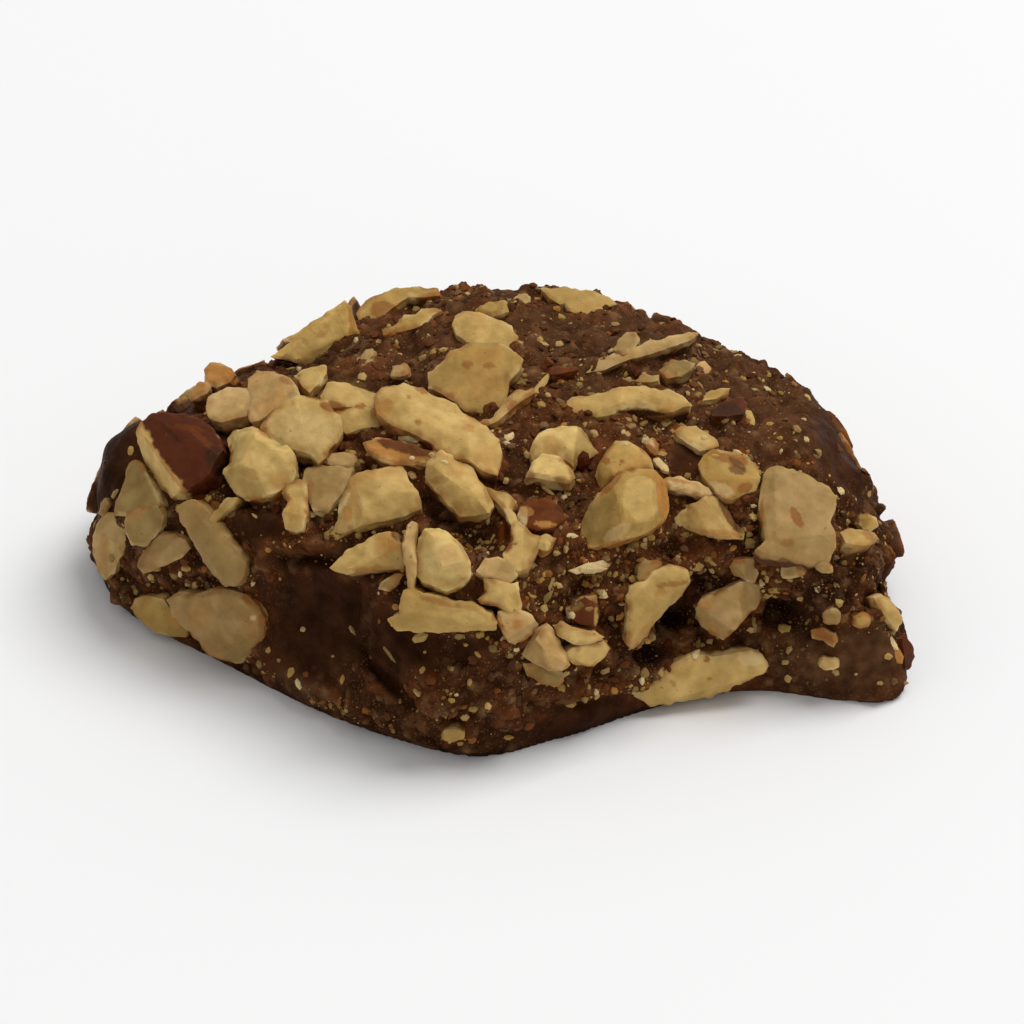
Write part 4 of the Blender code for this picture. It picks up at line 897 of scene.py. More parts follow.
def almondColours(name, tone, points, shaped, placed, edge, paintedFacetShade, shown, seed, draw):
    look = almondLook
    colours = np.tile(np.array(tones[tone]) * draw.uniform(*look["brightness"]), (len(points), 1))
    # painted shade of the broken faces, with random darker and paler noise
    shade = paintedFacetShade + sum(amount * softNoise(points, size, seed + shift) for size, shift, amount in look["shades"])
    colours = colours * (1 + shade[:, None] * np.array(look["shadeTint"]))
    # pale crumbly edges, golden patches and brown rims, or streaks on skin
    golden = patches(points, seed, look["golden"]) * draw.uniform(*look["goldenShare"])
    browned = patches(points, seed, look["browned"]) * draw.uniform(*look["brownedShare"])
    if tone in ("skin", "amber"):
        streaks = patches(points * np.array(look["streakStretch"]), seed, look["streaks"])
        colours = blend(colours, tones["dark" if tone == "skin" else "skin"], streaks * look["streakShare"])
    else:
        crumbly = patches(points, seed, look["crumbly"]) * rimOf(edge, points, seed, look["crumblyRim"])
        colours = blend(colours, tones["white"], crumbly * look["crumblyShare"])
        colours = blend(colours, np.array(tones["orange"]) * look["goldenLight"], golden)
        colours = blend(colours, tones["stain"], browned * rimOf(edge, points, seed, look["brownedRim"]))
    if shown:
        columns, rows = onDrawing(placed)
        size, shift, amount = look["markWaver"]
        waver = amount * softNoise(points, size, seed + shift)
        for mark in almondMarks:
            if mark[7:] in ((), (name,)):
                spot = ramp(hump(columns, rows, mark, look["markEdge"]) + waver, *look["markLimits"])
                colours = blend(colours, tones[mark[5]], spot * mark[6])
    else:
        colours = blend(colours, tones["stain"], patches(points, seed, look["stained"]) * look["stainShare"])
        if draw.random() < look["skinChance"]:
            size, shift, amount = look["skinSide"]
            skinned = ramp(shaped[:, 1] + amount * softNoise(points, size, seed + shift), 0, amount)
            colours = blend(colours, tones["skin"], skinned)
    # chocolate at the foot
    for layer, shade in (("rusty", "rust"), ("smear", "cocoa")):
        rim = rimOf(shaped[:, 2], points, seed, look[layer])
        colours = blend(colours, tones[shade], rim * look[layer + "Share"])
    return colours


def makeAlmond(name, place, cut, outline, rise, tone, draw):
    cuts, edgeLift, rounding, lumpy = almondCuts[cut][4:]
    half = np.abs(outline).max(axis=0)
    small = half.max() * 2 < almondSize["small"]
    turned = place.to_3x3().col[2].dot((eye - place.translation).normalized())
    shown = turned > almondSize["shown"]
    rise = rise + almondSize["lift"] if shown else rise
    sink = almondSize["sink"] + setBackAt(np.array([place.translation]), np.array([turned]))[0]
    almond = makeBlock(name, outline, rise, sink, draw)
    faces = brokenFaces(half, rise, 1 if small else cuts, draw)
    if name in almondFaces:
        faces = [(np.array((math.cos(math.radians(turn)), math.sin(math.radians(turn)))), slope, away, shade)
                 for turn, away, slope, shade in almondFaces[name]]
    top = rise * almondSize["brokenTop"]
    breakTop(faces, top)
    remesh(almond, almondSize["voxelBack" if not shown else "voxelSmall" if small else "voxel"], sharp=True)
    mesh = almond.data
    points, normals = meshArrays(mesh)
    seed = draw.randrange(1, 400)
    edge = insideDistance(points[:, :2], outline)
    roundedTo = max(rounding * half.min() * 2, almondSize["leastRounding"])
    roundedOff = edgeLift + (1 - edgeLift) * ramp(edge, 0, roundedTo)
    paintedFacetShade = paintedFacetShades(points[:, :2], faces, top, draw)
    shaped = points.copy()
    shaped[:, 2] = np.where(points[:, 2] > 0, points[:, 2] * roundedOff, points[:, 2])
    shaped += normals * almondRelief(points, edge, lumpy, seed)[:, None]
    placed = shaped @ np.array(place.to_3x3()).T + np.array(place.translation)
    placed[:, 2] = np.maximum(placed[:, 2], almondSize["overTable"])
    colours = almondColours(name, tone, points, shaped, placed, edge, paintedFacetShade, shown, seed, draw)
    mesh.vertices.foreach_set("co", placed.ravel())
    addTint(mesh, colours)
    mesh.update()
    bpy.ops.object.shade_smooth_by_angle(angle=almondSize["crease"])
    almond["cut"] = cut
    return almond


def patchNormal(point):
    total = Vector()
    for _, normal, _, distance in lumpTree.find_nearest_range(point, almondSize["patch"]):
        total += normal * (almondSize["patch"] - distance)
    return total.normalized()


def alongSurface(direction, normal, sight):
    carried = direction - sight * (direction.dot(normal) / sight.dot(normal))
    stretch = carried.length
    return carried * min(stretch, almondSize["longestStretch"]) / stretch


def placeOf(point, first, second, normal):
    place = Matrix((first, second, normal)).transposed().to_4x4()
    place.translation = point
    return place


def sightTo(column, line):
    # from the eye through a spot on the drawing
    aim = (
        drawingCentre
        + drawingRight * (column - drawing["middle"]) * drawing["unit"]
        + drawingUp * (drawing["middle"] - line) * drawing["unit"]
    )
    return (aim - eye).normalized(), aim


def axesOn(normal, sight, turn):
    angle = math.radians(turn)
    first = alongSurface(drawingRight * math.cos(angle) + drawingUp * math.sin(angle), normal, sight)
    second = alongSurface(drawingUp * math.cos(angle) - drawingRight * math.sin(angle), normal, sight)
    return first, second


def drawnOutline(name, column, line):
    numbers = np.array(almondOutlines[name], dtype=float).reshape(-1, 2)
    spots = np.stack([numbers[:, 0] - column, line - numbers[:, 1]], axis=1) * drawing["unit"]
    reach = np.linalg.norm(spots, axis=1)[:, None]
    return spots * (1 + almondSize["grow"] / np.maximum(reach, almondSize["growReach"]))


def makeFaceAlmonds():
    made, taken = [], []
    for order, (name, row) in enumerate(faceAlmonds.items()):
        column, line, length, width, turn, cut, rise, outward, tone = row
        draw = random.Random(100 + order)
        if name in almondOutlines:
            turn = 0
            outline = drawnOutline(name, column, line)
        else:
            outline = cutOutline(cut, length, width, almondSize["corners"], draw)
        sight, aim = sightTo(column, line)
        point = lumpTree.ray_cast(eye, sight)[0] or lumpTree.find_nearest(aim)[0]
        normal = patchNormal(point)
        normal = (normal * (1 - outward) - sight * outward).normalized()
        slope = min(sight.dot(normal), -almondSize["steepestSight"])
        taken.append((point - normal * rise + sight * (rise / slope), max(length, width) / 2))
        level = rise * almondSize["level"]
        place = placeOf(point - normal * level + sight * (level / slope), *axesOn(normal, sight, turn), normal)
        made.append(makeAlmond(name, place, cut, outline, rise, tone, draw))
    return made, taken


# The coat of chocolate between the almonds
coating = {
    "voxel": 0.257,
    # smooth parts: column, row, half length, half width, turn
    "smooth": [
        (318, 622, 5.4, 4.2, 60), (402, 640, 3.4, 3.0, -60), (262, 525, 2.0, 1.2, 0),
        (850, 440, 4.4, 3.0, -60), (860, 660, 4.4, 2.4, 0), (590, 722, 5.0, 1.5, 14),
        (690, 455, 1.6, 1.6, 0), (105, 460, 2.6, 5.0, -30), (190, 520, 0.9, 2.2, 20),
        (730, 665, 1.2, 1.0, 10), (470, 650, 1.6, 0.9, 0), (170, 395, 6.0, 1.6, 32),
    ],
    # hollows and ridges: column, row, half length, half width, turn, height
    "forms": [
        (673, 614, 1.6, 0.9, 62, -1.9), (651, 655, 1.2, 0.7, 10, -1.2), (615, 633, 0.7, 0.9, 0, -1.1),
        (582, 590, 1.3, 1.0, 20, -0.8), (668, 549, 1.2, 0.8, 0, -1.1), (776, 615, 1.3, 0.9, 0, -0.8),
        (442, 508, 1.8, 0.8, -40, -1.1), (510, 480, 1.2, 0.6, -10, -0.7), (306, 560, 2.1, 0.42, -3, -1.1),
        (300, 545, 2.8, 0.60, -3, 1.0), (264, 556, 1.5, 0.5, 60, 0.55), (353, 612, 2.5, 0.40, 86, -0.75),
        (345, 536, 1.0, 0.5, 50, 0.4), (384, 676, 4.3, 0.42, -45, -0.9), (418, 666, 2.4, 0.5, -48, 0.45),
        (320, 690, 3.6, 0.5, -28, 0.35), (505, 712, 1.2, 1.0, 0, 0.35), (455, 722, 2.4, 0.4, -14, -0.4),
        (430, 695, 1.7, 1.6, -20, 0.60), (600, 688, 3.2, 0.6, 8, 0.55), (598, 701, 3.0, 0.35, 8, -0.5),
        (480, 540, 1.1, 1.1, 0, -0.6), (590, 470, 0.8, 0.9, 0, -0.6), (423, 366, 0.8, 0.5, 20, -0.7),
        (410, 348, 1.0, 0.5, 0, -0.5), (596, 346, 1.2, 0.8, 0, -0.7), (680, 415, 0.8, 1.0, 0, -0.7),
        (850, 520, 1.2, 0.9, 20, -0.7), (852, 558, 1.6, 0.5, 0, -0.5), (250, 500, 1.6, 0.5, -20, -0.7),
        (305, 462, 0.7, 1.2, 30, -0.8), (860, 600, 1.6, 0.5, 0, -0.4), (785, 610, 1.6, 0.8, 0, -0.5),
        (122, 535, 0.6, 0.4, 0, -0.5), (590, 372, 1.8, 0.3, 5, -0.5), (230, 588, 2.4, 0.3, -12, -0.4),
    ],
    # reddish, dusty or dark patches, and painted shade in pits, hollows and at the foot: column, row, half length,
    # half width, turn, tone, strength
    "patches": [
        (303, 546, 2.6, 0.7, -3, "reddish", 0.9), (264, 562, 1.2, 0.5, 60, "reddish", 0.7),
        (432, 690, 1.9, 1.6, -20, "reddish", 0.7), (600, 690, 3.2, 0.9, 8, "reddish", 0.7),
        (640, 548, 2.6, 0.5, 8, "reddish", 0.8), (608, 595, 0.9, 1.2, 0, "reddish", 0.7),
        (468, 590, 0.8, 0.7, 0, "reddish", 0.9), (388, 436, 2.6, 0.6, -14, "reddish", 0.9),
        (350, 438, 1.0, 0.4, 10, "reddish", 0.8), (540, 690, 1.4, 1.0, 0, "reddish", 0.6),
        (525, 590, 1.0, 0.9, 0, "reddish", 0.6), (310, 535, 1.4, 0.4, 0, "reddish", 0.6),
        (486, 656, 0.9, 0.6, -10, "reddish", 0.6), (305, 690, 2.4, 0.8, -28, "dusty", 0.45),
        # the milk patch at 852, 658 is paler chocolate on the tail and partly a painted sheen
        (770, 405, 2.2, 1.4, -20, "cocoa", 0.5), (852, 658, 4.8, 2.8, 0, "milk", 0.80),
        # the dark patch at 575, 718 is painted shade where the foot curves under
        (820, 440, 3.4, 4.4, 50, "cocoa", 0.65), (575, 718, 4.6, 1.0, 14, "dark", 0.6),
        (560, 350, 12.0, 4.0, 0, "milk", 0.60), (755, 400, 4.0, 3.2, -45, "milk", 0.50),
        # painted shade: near-black in the pits and grooves, and dark in the hollow at 582, 592
        (675, 613, 1.3, 0.8, 62, "pitShade", 0.9), (652, 655, 1.2, 0.7, 10, "pitShade", 0.8),
        (776, 615, 1.3, 0.8, 0, "pitShade", 0.7), (615, 632, 0.7, 0.8, 0, "pitShade", 0.7),
        (573, 375, 1.6, 0.4, 10, "pitShade", 0.5), (582, 592, 1.1, 0.9, 20, "dark", 0.7),
        (545, 420, 2.4, 1.2, 0, "rust", 0.35), (640, 560, 3.4, 1.0, 6, "rust", 0.45),
        (560, 590, 1.6, 1.8, 0, "rust", 0.40), (500, 525, 1.2, 1.6, 0, "rust", 0.40),
        (705, 560, 2.4, 0.8, 0, "rust", 0.40), (420, 452, 2.6, 1.0, -25, "rust", 0.50),
        (331, 392, 2.2, 0.8, 0, "tan", 0.80), (352, 418, 2.4, 0.5, -8, "cream", 0.80),
        (290, 414, 0.6, 2.0, 20, "tan", 0.75), (398, 412, 1.2, 0.6, -30, "tan", 0.70),
        (252, 412, 0.5, 1.6, 0, "tan", 0.70),
    ],
    # how sharply the ovals end
    "smoothEdge": 4.0,
    "formEdge": 2.6,
    "patchEdge": 3.0,
    # how far a surface faces the eye, from none to all of an effect
    "setBackFacing": (-0.9, -0.2),
    "shown": (0.0, 0.3),
    "nearlyShown": (-0.35, 0.0),
    "base": 0.16,                      # flat below this, mm
    "overBase": (0.1, 1.4),            # where the relief begins and is full, mm
    # the hidden sides are smooth in patches, below a height that fades over some mm
    "hiddenSmooth": (6.0, 2, -0.1, 0.5),
    "hiddenHeight": (9.0, 5.0),
    # unevenness: noise size, seed, height everywhere, height on the rough parts
    "uneven": [(2.2, 1, 0, 0.34), (1.0, 4, 0, 0.20), (3.0, 5, 0.06, 0), (0.5, 6, 0.02, 0.06)],
    # grains: size, seed, from which share of them, height
    "lumps": (1.15, 3, (0.35, 0.6), 0.40),
    "finer": (0.62, 9, (0.4, 0.7), 0.24),
    "grainsSunk": 0.18,
    "meniscus": (0.02, 0.13, 0.4),     # chocolate drawn up at the almonds: least, most and reach, mm
    "meniscusNoise": (1.4, 7),
    # colours; noises begin with their size and seed
    # paler and crumbly grow with the relief, painting shade in hollows and light on ridges, besides the reddish
    # broken chocolate
    "paler": (2.8, 8, 0.3, 0.5, 1.1),            # noise, level, more by the relief
    "palerSlow": (5.0, 12, 0.12),
    # painted light on faces turned up
    "paintedTopLight": (0.5, 1.0, 0.30, 0.10),          # upward from, to, how much, less everywhere
    "crumbly": (1.6, 14, 1.2, 0.2, 0.8, 0.75),   # by the relief, from, to, share
    "dustyFiner": (0.72, 0.9, 0.85),             # grains from, to, share
    "dustyLumps": (0.8, 0.95, 0.4),
    "rusty": (1.3, 16, -0.15, 0.45),             # from, to
    "rustyReach": 0.55,
    "rustyShare": (0.75, 0.35, 0.65),            # share, on smooth parts, more on rough ones
    "patchNoise": (0.6, 15, 0.7, 0.4),           # level, noise
}

# Where the coat and its almonds are set back at the edge of the view, or drawn out where the depth
# is below 0: column, row, half length, half width, turn, depth in mm
setBack = [
    (238, 375, 4.2, 3.0, 30, 1.15), (300, 345, 3.0, 2.6, 10, 0.60), (866, 452, 2.6, 2.6, 0, 1.35),
    (895, 590, 2.0, 1.4, 0, 0.85), (740, 362, 2.6, 2.0, -30, 0.45),
    (163, 403, 2.2, 1.3, 30, 0.90), (97, 450, 2.4, 1.4, 60, -0.45), (889, 504, 1.5, 1.4, 0, 0.95),
    (822, 398, 1.8, 1.3, -40, -0.45),
]


def setBackAt(points, facing):
    columns, rows = onDrawing(points)
    depth = sum(form[5] * hump(columns, rows, form, coating["formEdge"]) for form in setBack)
    return depth * ramp(facing, *coating["setBackFacing"])


def makeScatteredAlmonds(taken):
    draw = random.Random(scatter["seed"])
    toneDraw = random.Random(scatter["seed"] + 1)
    made = []
    for _ in range(scatter["tries"]):
        if len(made) == scatter["count"]:
            break
        turn = draw.random()
        climb = draw.uniform(*scatter["climb"])
        length = draw.uniform(*scatter["length"])
        cut = draw.choice(scatter["cuts"])
        width = length * (scatter["sliverWidth"] if cut == "sliver" else draw.uniform(*scatter["width"]))
        spin = draw.uniform(0, math.tau)
        rise = draw.uniform(*scatter["rise"])
        seed = draw.randrange(10**6)
        point, normal = surfacePoint(turn, climb)
        turned = normal.dot((eye - point).normalized())
        low = point.z < width / 2 + scatter["overTable"]
        if turned > scatter["limit"] or low or (point.x > scatter["bareTip"] and point.y < 0):
            continue
        clear = min(max((scatter["limit"] - turned) / scatter["fade"], 0.0), 1.0)
        rise = scatter["lowRise"] + (rise - scatter["lowRise"]) * clear
        if any((point - other).length < scatter["gap"] * (length / 2 + reach) for other, reach in taken):
            continue
        side = normal.cross(Vector((0, 0, 1)))
        side = side.normalized() if side.length > lump["normalStep"] else Vector((1, 0, 0))
        first = Matrix.Rotation(spin, 3, normal) @ side
        own = random.Random(seed)
        outline = cutOutline(cut, length, width, scatter["corners"], own)
        depth = setBackAt(np.array([point]), np.array([turned]))[0]
        place = placeOf(point - normal * depth, first, normal.cross(first), normal)
        made.append(makeAlmond(f"backAlmond{len(made):02d}", place, cut, outline, rise,
                               toneDraw.choice(scatter["tones"]), own))
        taken.append((point, length / 2))
    return made


print("almonds")
almondObjects, takenPlaces = makeFaceAlmonds()
almondObjects += makeScatteredAlmonds(takenPlaces)
almondPoints = np.concatenate([meshArrays(almond.data)[0] for almond in almondObjects])
print(len(almondObjects), "almonds,", len(almondPoints), "points")


def coatColours(points, normals, columns, rows, shown, rough, relief, grains, nearest):
    # smooth parts are dark and broken ridges reddish with dusty grains; by the relief, hollows get painted shade and
    # ridges painted light, and faces turned up get painted light
    colours = np.tile(np.array(tones["dark"]), (len(points), 1))
    size, seed, amount, level, byRelief = coating["paler"]
    paler = rough * (level + amount * softNoise(points, size, seed) + byRelief * relief)
    size, seed, amount = coating["palerSlow"]
    paler += amount * softNoise(points, size, seed)
    low, high, amount, less = coating["paintedTopLight"]
    paler += amount * ramp(normals[:, 2], low, high) - less
    colours = blend(colours, tones["cocoa"], np.clip(paler, 0, 1))
    size, seed, byRelief, low, high, share = coating["crumbly"]
    crumbly = rough * ramp(softNoise(points, size, seed) + byRelief * relief, low, high)
    colours = blend(colours, tones["reddish"], share * crumbly)
    dusted = np.zeros(len(points))
    near, grain, kept = grains["finer"]
    low, high, amount = coating["dustyFiner"]
    dusted += rough * amount * near * kept * ramp(grain, low, high)
    near, grain, _ = grains["lumps"]
    low, high, amount = coating["dustyLumps"]
    dusted += rough * amount * near * ramp(grain, low, high)
    colours = blend(colours, tones["dusty"], np.clip(dusted, 0, 1))
    most, level, byRough = coating["rustyShare"]
    rusty = most * np.exp(-((nearest / coating["rustyReach"]) ** 2)) * patches(points, 0, coating["rusty"])
    colours = blend(colours, tones["rust"], rusty * (level + byRough * rough))
    size, seed, level, amount = coating["patchNoise"]
    wavering = shown * (level + amount * softNoise(points, size, seed))
    for patch in coating["patches"]:
        spot = patch[6] * hump(columns, rows, patch, coating["patchEdge"]) * wavering
        colours = blend(colours, tones[patch[5]], np.clip(spot, 0, 1))
    return colours


def coatLump():
    remesh(chocolateCoat, coating["voxel"])
    mesh = chocolateCoat.data
    points, normals = meshArrays(mesh)
    onBase = points[:, 2] < coating["base"]
    columns, rows = onDrawing(points)
    facing = facingEye(points, normals)
    shown, nearlyShown = ramp(facing, *coating["shown"]), ramp(facing, *coating["nearlyShown"])
    smooth = np.max([hump(columns, rows, zone, coating["smoothEdge"]) for zone in coating["smooth"]], axis=0)
    high, fade = coating["hiddenHeight"]
    hiddenSmooth = patches(points, 0, coating["hiddenSmooth"]) * ramp(high - points[:, 2], 0, fade)
    rough = 1 - (smooth * nearlyShown + hiddenSmooth * (1 - nearlyShown))
    # unevenness, grains, hollows and ridges
    height = -coating["grainsSunk"] * rough
    for size, seed, everywhere, onRough in coating["uneven"]:
        height += (everywhere + onRough * rough) * softNoise(points, size, seed)
    grains = {}
    for name in ("lumps", "finer"):
        size, seed, kept, amount = coating[name]
        near, grain = grainNoise(points, size, seed)
        height += rough * amount * near * ramp(grain, *kept)
        grains[name] = near, grain, ramp(grain, *kept)
    for form in coating["forms"]:
        height += shown * form[5] * hump(columns, rows, form, coating["formEdge"])
    relief = height.copy()
    height -= setBackAt(points, facing)
    tree = KDTree(len(almondPoints))
    for index, point in enumerate(almondPoints):
        tree.insert(point, index)
    tree.balance()
    nearest = np.array([tree.find(point)[2] for point in points])
    least, most, reach = coating["meniscus"]
    drawn = least + (most - least) * (1 + softNoise(points, *coating["meniscusNoise"])) / 2
    height += drawn * np.exp(-((nearest / reach) ** 2))
    height *= np.where(onBase, 0, ramp(points[:, 2], *coating["overBase"]))
    coated = points + normals * height[:, None]
    coated[:, 2] = np.where(onBase, 0, np.maximum(coated[:, 2], 0))
    mesh.vertices.foreach_set("co", coated.ravel())
    addTint(mesh, coatColours(points, normals, columns, rows, shown, rough, relief, grains, nearest))
    addAttribute(mesh, "rough", "FLOAT", rough)
    mesh.shade_smooth()
    mesh.update()
    print("chocolate", len(points), "points")
    return meshArrays(mesh) + (rough, nearest)


coatPoints, coatNormals, coatRough, almondNear = coatLump()

# Crumbs on the chocolate: count, size in mm from smallest to largest, flatness, tones
crumbs = {
    "nutCrumbs": {"count": 4400, "size": (0.12, 0.80), "flat": 0.7, "seed": 5,
                  "tones": ("cream", "white", "tan", "pink", "tan", "grey", "dusty", "dusty", "dusty", "orange",
                            "stain", "stain", "oliveAndShade", "oliveAndShade")},
    "skinCrumbs": {"count": 900, "size": (0.20, 1.0), "flat": 0.5, "seed": 6,
                   "tones": ("skin", "amber", "rust", "stain", "reddish")},
    "chocolateCrumbs": {"count": 2600, "size": (0.20, 1.0), "flat": 0.7, "seed": 7,
                        "tones": ("cocoa", "reddish", "reddish", "rust", "satin")},
}

# Where crumbs lie, their shapes and light
crumbPlaces = {
    "onSmooth": 0.006,                 # share of the crumbs on smooth chocolate
    "roughFrom": 0.1,
    "clumps": (1.5, 0.0, 0.6, 0.10),   # noise size, where they begin and are full, share outside them
    "atAlmonds": (0.8, 0.5),           # how many more, and how far out, mm
    "shown": (0.0, 0.2),
    "overTable": (0.4, 1.6),
    "atOutline": (0.75, 0.16),         # how many fewer where the surface turns away from the eye
    "smallness": 4,                    # the higher, the fewer large ones
    "lean": 0.5,
    "light": (0.75, 1.1),
    "kinds": 7,
    "wide": (0.65, 1.0),
    "flat": (0.55, 0.95),
    "uneven": (0.7, 1.25),
    "lowest": 0.1,
    "outward": 0.4,                    # how far the placed ones turn to the eye
    "placedWidth": 1.3,
    "placedHeight": 0.9,
    "placedLight": (0.9, 1.1),
}

# Where crumbs gather: column, row, half length, half width, turn, how many times more
crumbHeaps = [
    (310, 690, 4.6, 0.9, -28, 5), (266, 556, 1.8, 0.7, 60, 3), (303, 543, 2.6, 0.7, -3, 2),
    (430, 700, 1.6, 1.9, -20, 4), (475, 690, 3.2, 2.0, -5, 2), (640, 548, 3.4, 1.2, 6, 5),
    (600, 600, 1.8, 2.4, 0, 5), (620, 690, 3.4, 1.0, 8, 4), (560, 500, 1.6, 2.4, 20, 3),
    (470, 545, 1.4, 1.8, 0, 4), (410, 440, 2.4, 0.8, -30, 5), (360, 456, 1.6, 0.7, 0, 3),
    (545, 395, 1.6, 1.8, 30, 4), (620, 425, 4.2, 1.0, 0, 4), (690, 445, 2.6, 1.8, 20, 3),
    (745, 480, 1.2, 3.0, 0, 4), (770, 590, 4.4, 0.8, 2, 4), (570, 350, 3.0, 1.8, 0, 0.5),
    (430, 350, 2.4, 1.6, 0, 1), (480, 640, 2.4, 0.7, -5, 4), (700, 560, 2.6, 0.8, 0, 4),
    (205, 580, 2.6, 0.7, -15, 3), (190, 500, 0.8, 2.0, 20, 2), (520, 615, 1.4, 2.4, 0, 3),
    (840, 650, 2.6, 1.2, 0, 1), (300, 470, 0.8, 1.6, 0, 3), (655, 650, 0.9, 1.6, 0, 3),
]
# Crumbs that stand out: column, row, length, width, turn, tone
placedCrumbs = [
    (420, 637, 1.1, 0.7, 20, "cream"), (452, 669, 0.5, 0.5, 0, "tan"), (470, 682, 0.7, 0.4, 80, "tan"),
    (418, 693, 0.9, 0.6, -50, "cream"), (473, 708, 0.9, 0.5, 0, "tan"), (488, 706, 0.6, 0.5, 0, "cream"),
    (508, 737, 0.8, 0.4, 0, "tan"), (561, 686, 0.9, 0.6, -60, "tan"), (571, 704, 0.8, 0.5, 0, "tan"),
    (606, 670, 1.0, 0.4, 30, "pink"), (547, 598, 1.5, 0.6, 52, "oliveAndShade"), (552, 582, 1.5, 0.4, 70, "grey"),
    (572, 615, 0.6, 0.5, 0, "white"), (783, 628, 1.0, 0.7, 0, "tan"), (695, 654, 0.8, 0.5, 40, "white"),
    (698, 644, 1.1, 0.5, 80, "oliveAndShade"), (767, 577, 0.9, 0.4, 90, "tan"), (696, 566, 1.0, 0.7, 0, "grey"),
    (711, 562, 1.0, 0.3, -40, "tan"), (572, 536, 0.9, 0.5, -5, "white"), (291, 672, 0.9, 0.7, 60, "tan"),
    (343, 680, 0.8, 0.5, 90, "tan"), (548, 491, 1.1, 0.35, -40, "cream"), (577, 528, 0.6, 0.3, 10, "white"),
    (580, 481, 0.7, 0.3, -20, "cream"), (506, 481, 0.5, 0.6, 0, "pink"), (528, 455, 0.9, 0.5, -45, "cream"),
    (509, 438, 1.1, 0.6, 35, "white"), (409, 440, 1.5, 0.6, -18, "white"), (423, 463, 0.8, 0.5, 0, "tan"),
    (533, 597, 0.6, 0.3, 0, "tan"), (750, 419, 1.3, 0.7, -70, "cream"), (664, 424, 1.1, 0.7, 10, "cream"),
    (644, 424, 0.8, 0.5, 30, "tan"), (594, 434, 0.9, 0.6, -20, "pink"), (770, 424, 0.6, 0.4, 0, "tan"),
    (541, 385, 2.2, 0.5, 55, "cream"), (540, 405, 1.1, 0.6, 0, "tan"), (367, 356, 1.5, 0.7, 45, "pink"),
    (788, 678, 0.8, 0.5, 80, "cream"), (786, 662, 0.6, 0.5, 0, "pink"), (789, 650, 0.8, 0.4, 60, "grey"),
    (754, 622, 1.7, 0.4, -80, "grey"), (777, 596, 0.6, 0.4, 0, "tan"), (800, 598, 0.6, 0.4, 0, "pink"),
    (892, 642, 1.8, 0.5, -58, "white"), (888, 656, 0.6, 0.5, 0, "tan"), (905, 683, 0.6, 0.4, 0, "orange"),
    (836, 672, 0.7, 0.4, -30, "pink"), (856, 674, 0.3, 0.3, 0, "pink"), (880, 683, 0.6, 0.3, 0, "tan"),
    (112, 558, 0.8, 0.5, 70, "grey"), (131, 451, 0.9, 0.5, 85, "tan"), (115, 494, 0.9, 0.4, 60, "grey"),
    (255, 516, 0.6, 0.3, -40, "cream"), (248, 499, 0.5, 0.3, 0, "tan"), (180, 574, 0.4, 0.4, 0, "white"),
    (186, 568, 0.7, 0.5, 0, "tan"), (208, 586, 1.0, 0.4, -70, "tan"), (190, 584, 0.7, 0.5, 0, "pink"),
    (303, 629, 0.4, 0.4, 0, "pink"), (280, 579, 0.35, 0.3, 0, "tan"), (268, 650, 0.6, 0.4, 60, "tan"),
    (412, 475, 0.9, 0.5, -40, "pink"), (405, 532, 0.5, 0.3, 0, "tan"), (493, 537, 0.9, 0.2, 60, "cream"),
    (480, 540, 0.6, 0.25, 45, "tan"), (566, 549, 0.8, 0.4, 80, "cream"), (556, 553, 0.6, 0.4, 0, "pink"),
    (605, 602, 0.4, 0.3, 0, "tan"), (622, 577, 0.8, 0.4, 90, "grey"), (622, 604, 0.6, 0.4, 0, "pink"),
    (640, 385, 0.6, 0.4, 0, "tan"), (700, 385, 0.8, 0.3, -50, "tan"), (737, 452, 0.8, 0.4, -20, "white"),
    (747, 458, 0.9, 0.4, -50, "cream"), (704, 438, 0.5, 0.4, 0, "white"), (715, 456, 0.6, 0.4, 0, "tan"),
    (750, 543, 1.0, 0.7, 20, "oliveAndShade"), (746, 530, 0.8, 0.4, 0, "grey"), (753, 506, 0.6, 0.4, 0, "white"),
    (625, 444, 0.6, 0.35, 0, "white"), (515, 543, 0.5, 0.3, 0, "tan"), (466, 645, 0.35, 0.35, 0, "tan"),
    (425, 652, 0.3, 0.3, 0, "pink"), (478, 655, 0.6, 0.3, -50, "tan"), (333, 656, 0.3, 0.3, 0, "grey"),
    (391, 655, 1.6, 0.5, -55, "oliveAndShade"), (352, 630, 0.9, 0.4, -55, "grey"), (560, 345, 0.9, 0.6, 0, "pink"),
    (540, 340, 0.6, 0.5, 0, "tan"), (520, 343, 0.6, 0.5, 0, "pink"), (440, 352, 0.5, 0.3, 70, "pink"),
    (362, 377, 0.8, 0.6, 0, "pink"), (423, 358, 0.7, 0.5, 30, "grey"), (300, 375, 0.4, 0.3, 0, "tan"),
    (430, 447, 2.0, 0.7, -30, "skin"), (352, 437, 1.3, 0.6, 10, "skin"), (384, 437, 1.6, 0.5, -8, "skin"),
    (583, 462, 1.6, 0.9, 60, "skin"), (504, 531, 2.0, 0.9, 86, "amber"), (412, 458, 0.5, 0.3, 0, "white"),
    (420, 445, 0.5, 0.4, 0, "white"), (432, 455, 0.6, 0.4, -30, "cream"), (445, 462, 0.6, 0.4, -30, "white"),
    (590, 569, 2.2, 0.6, 2, "white"), (544, 545, 1.1, 0.9, 0, "cream"), (898, 655, 1.6, 0.6, -70, "orange"),
]


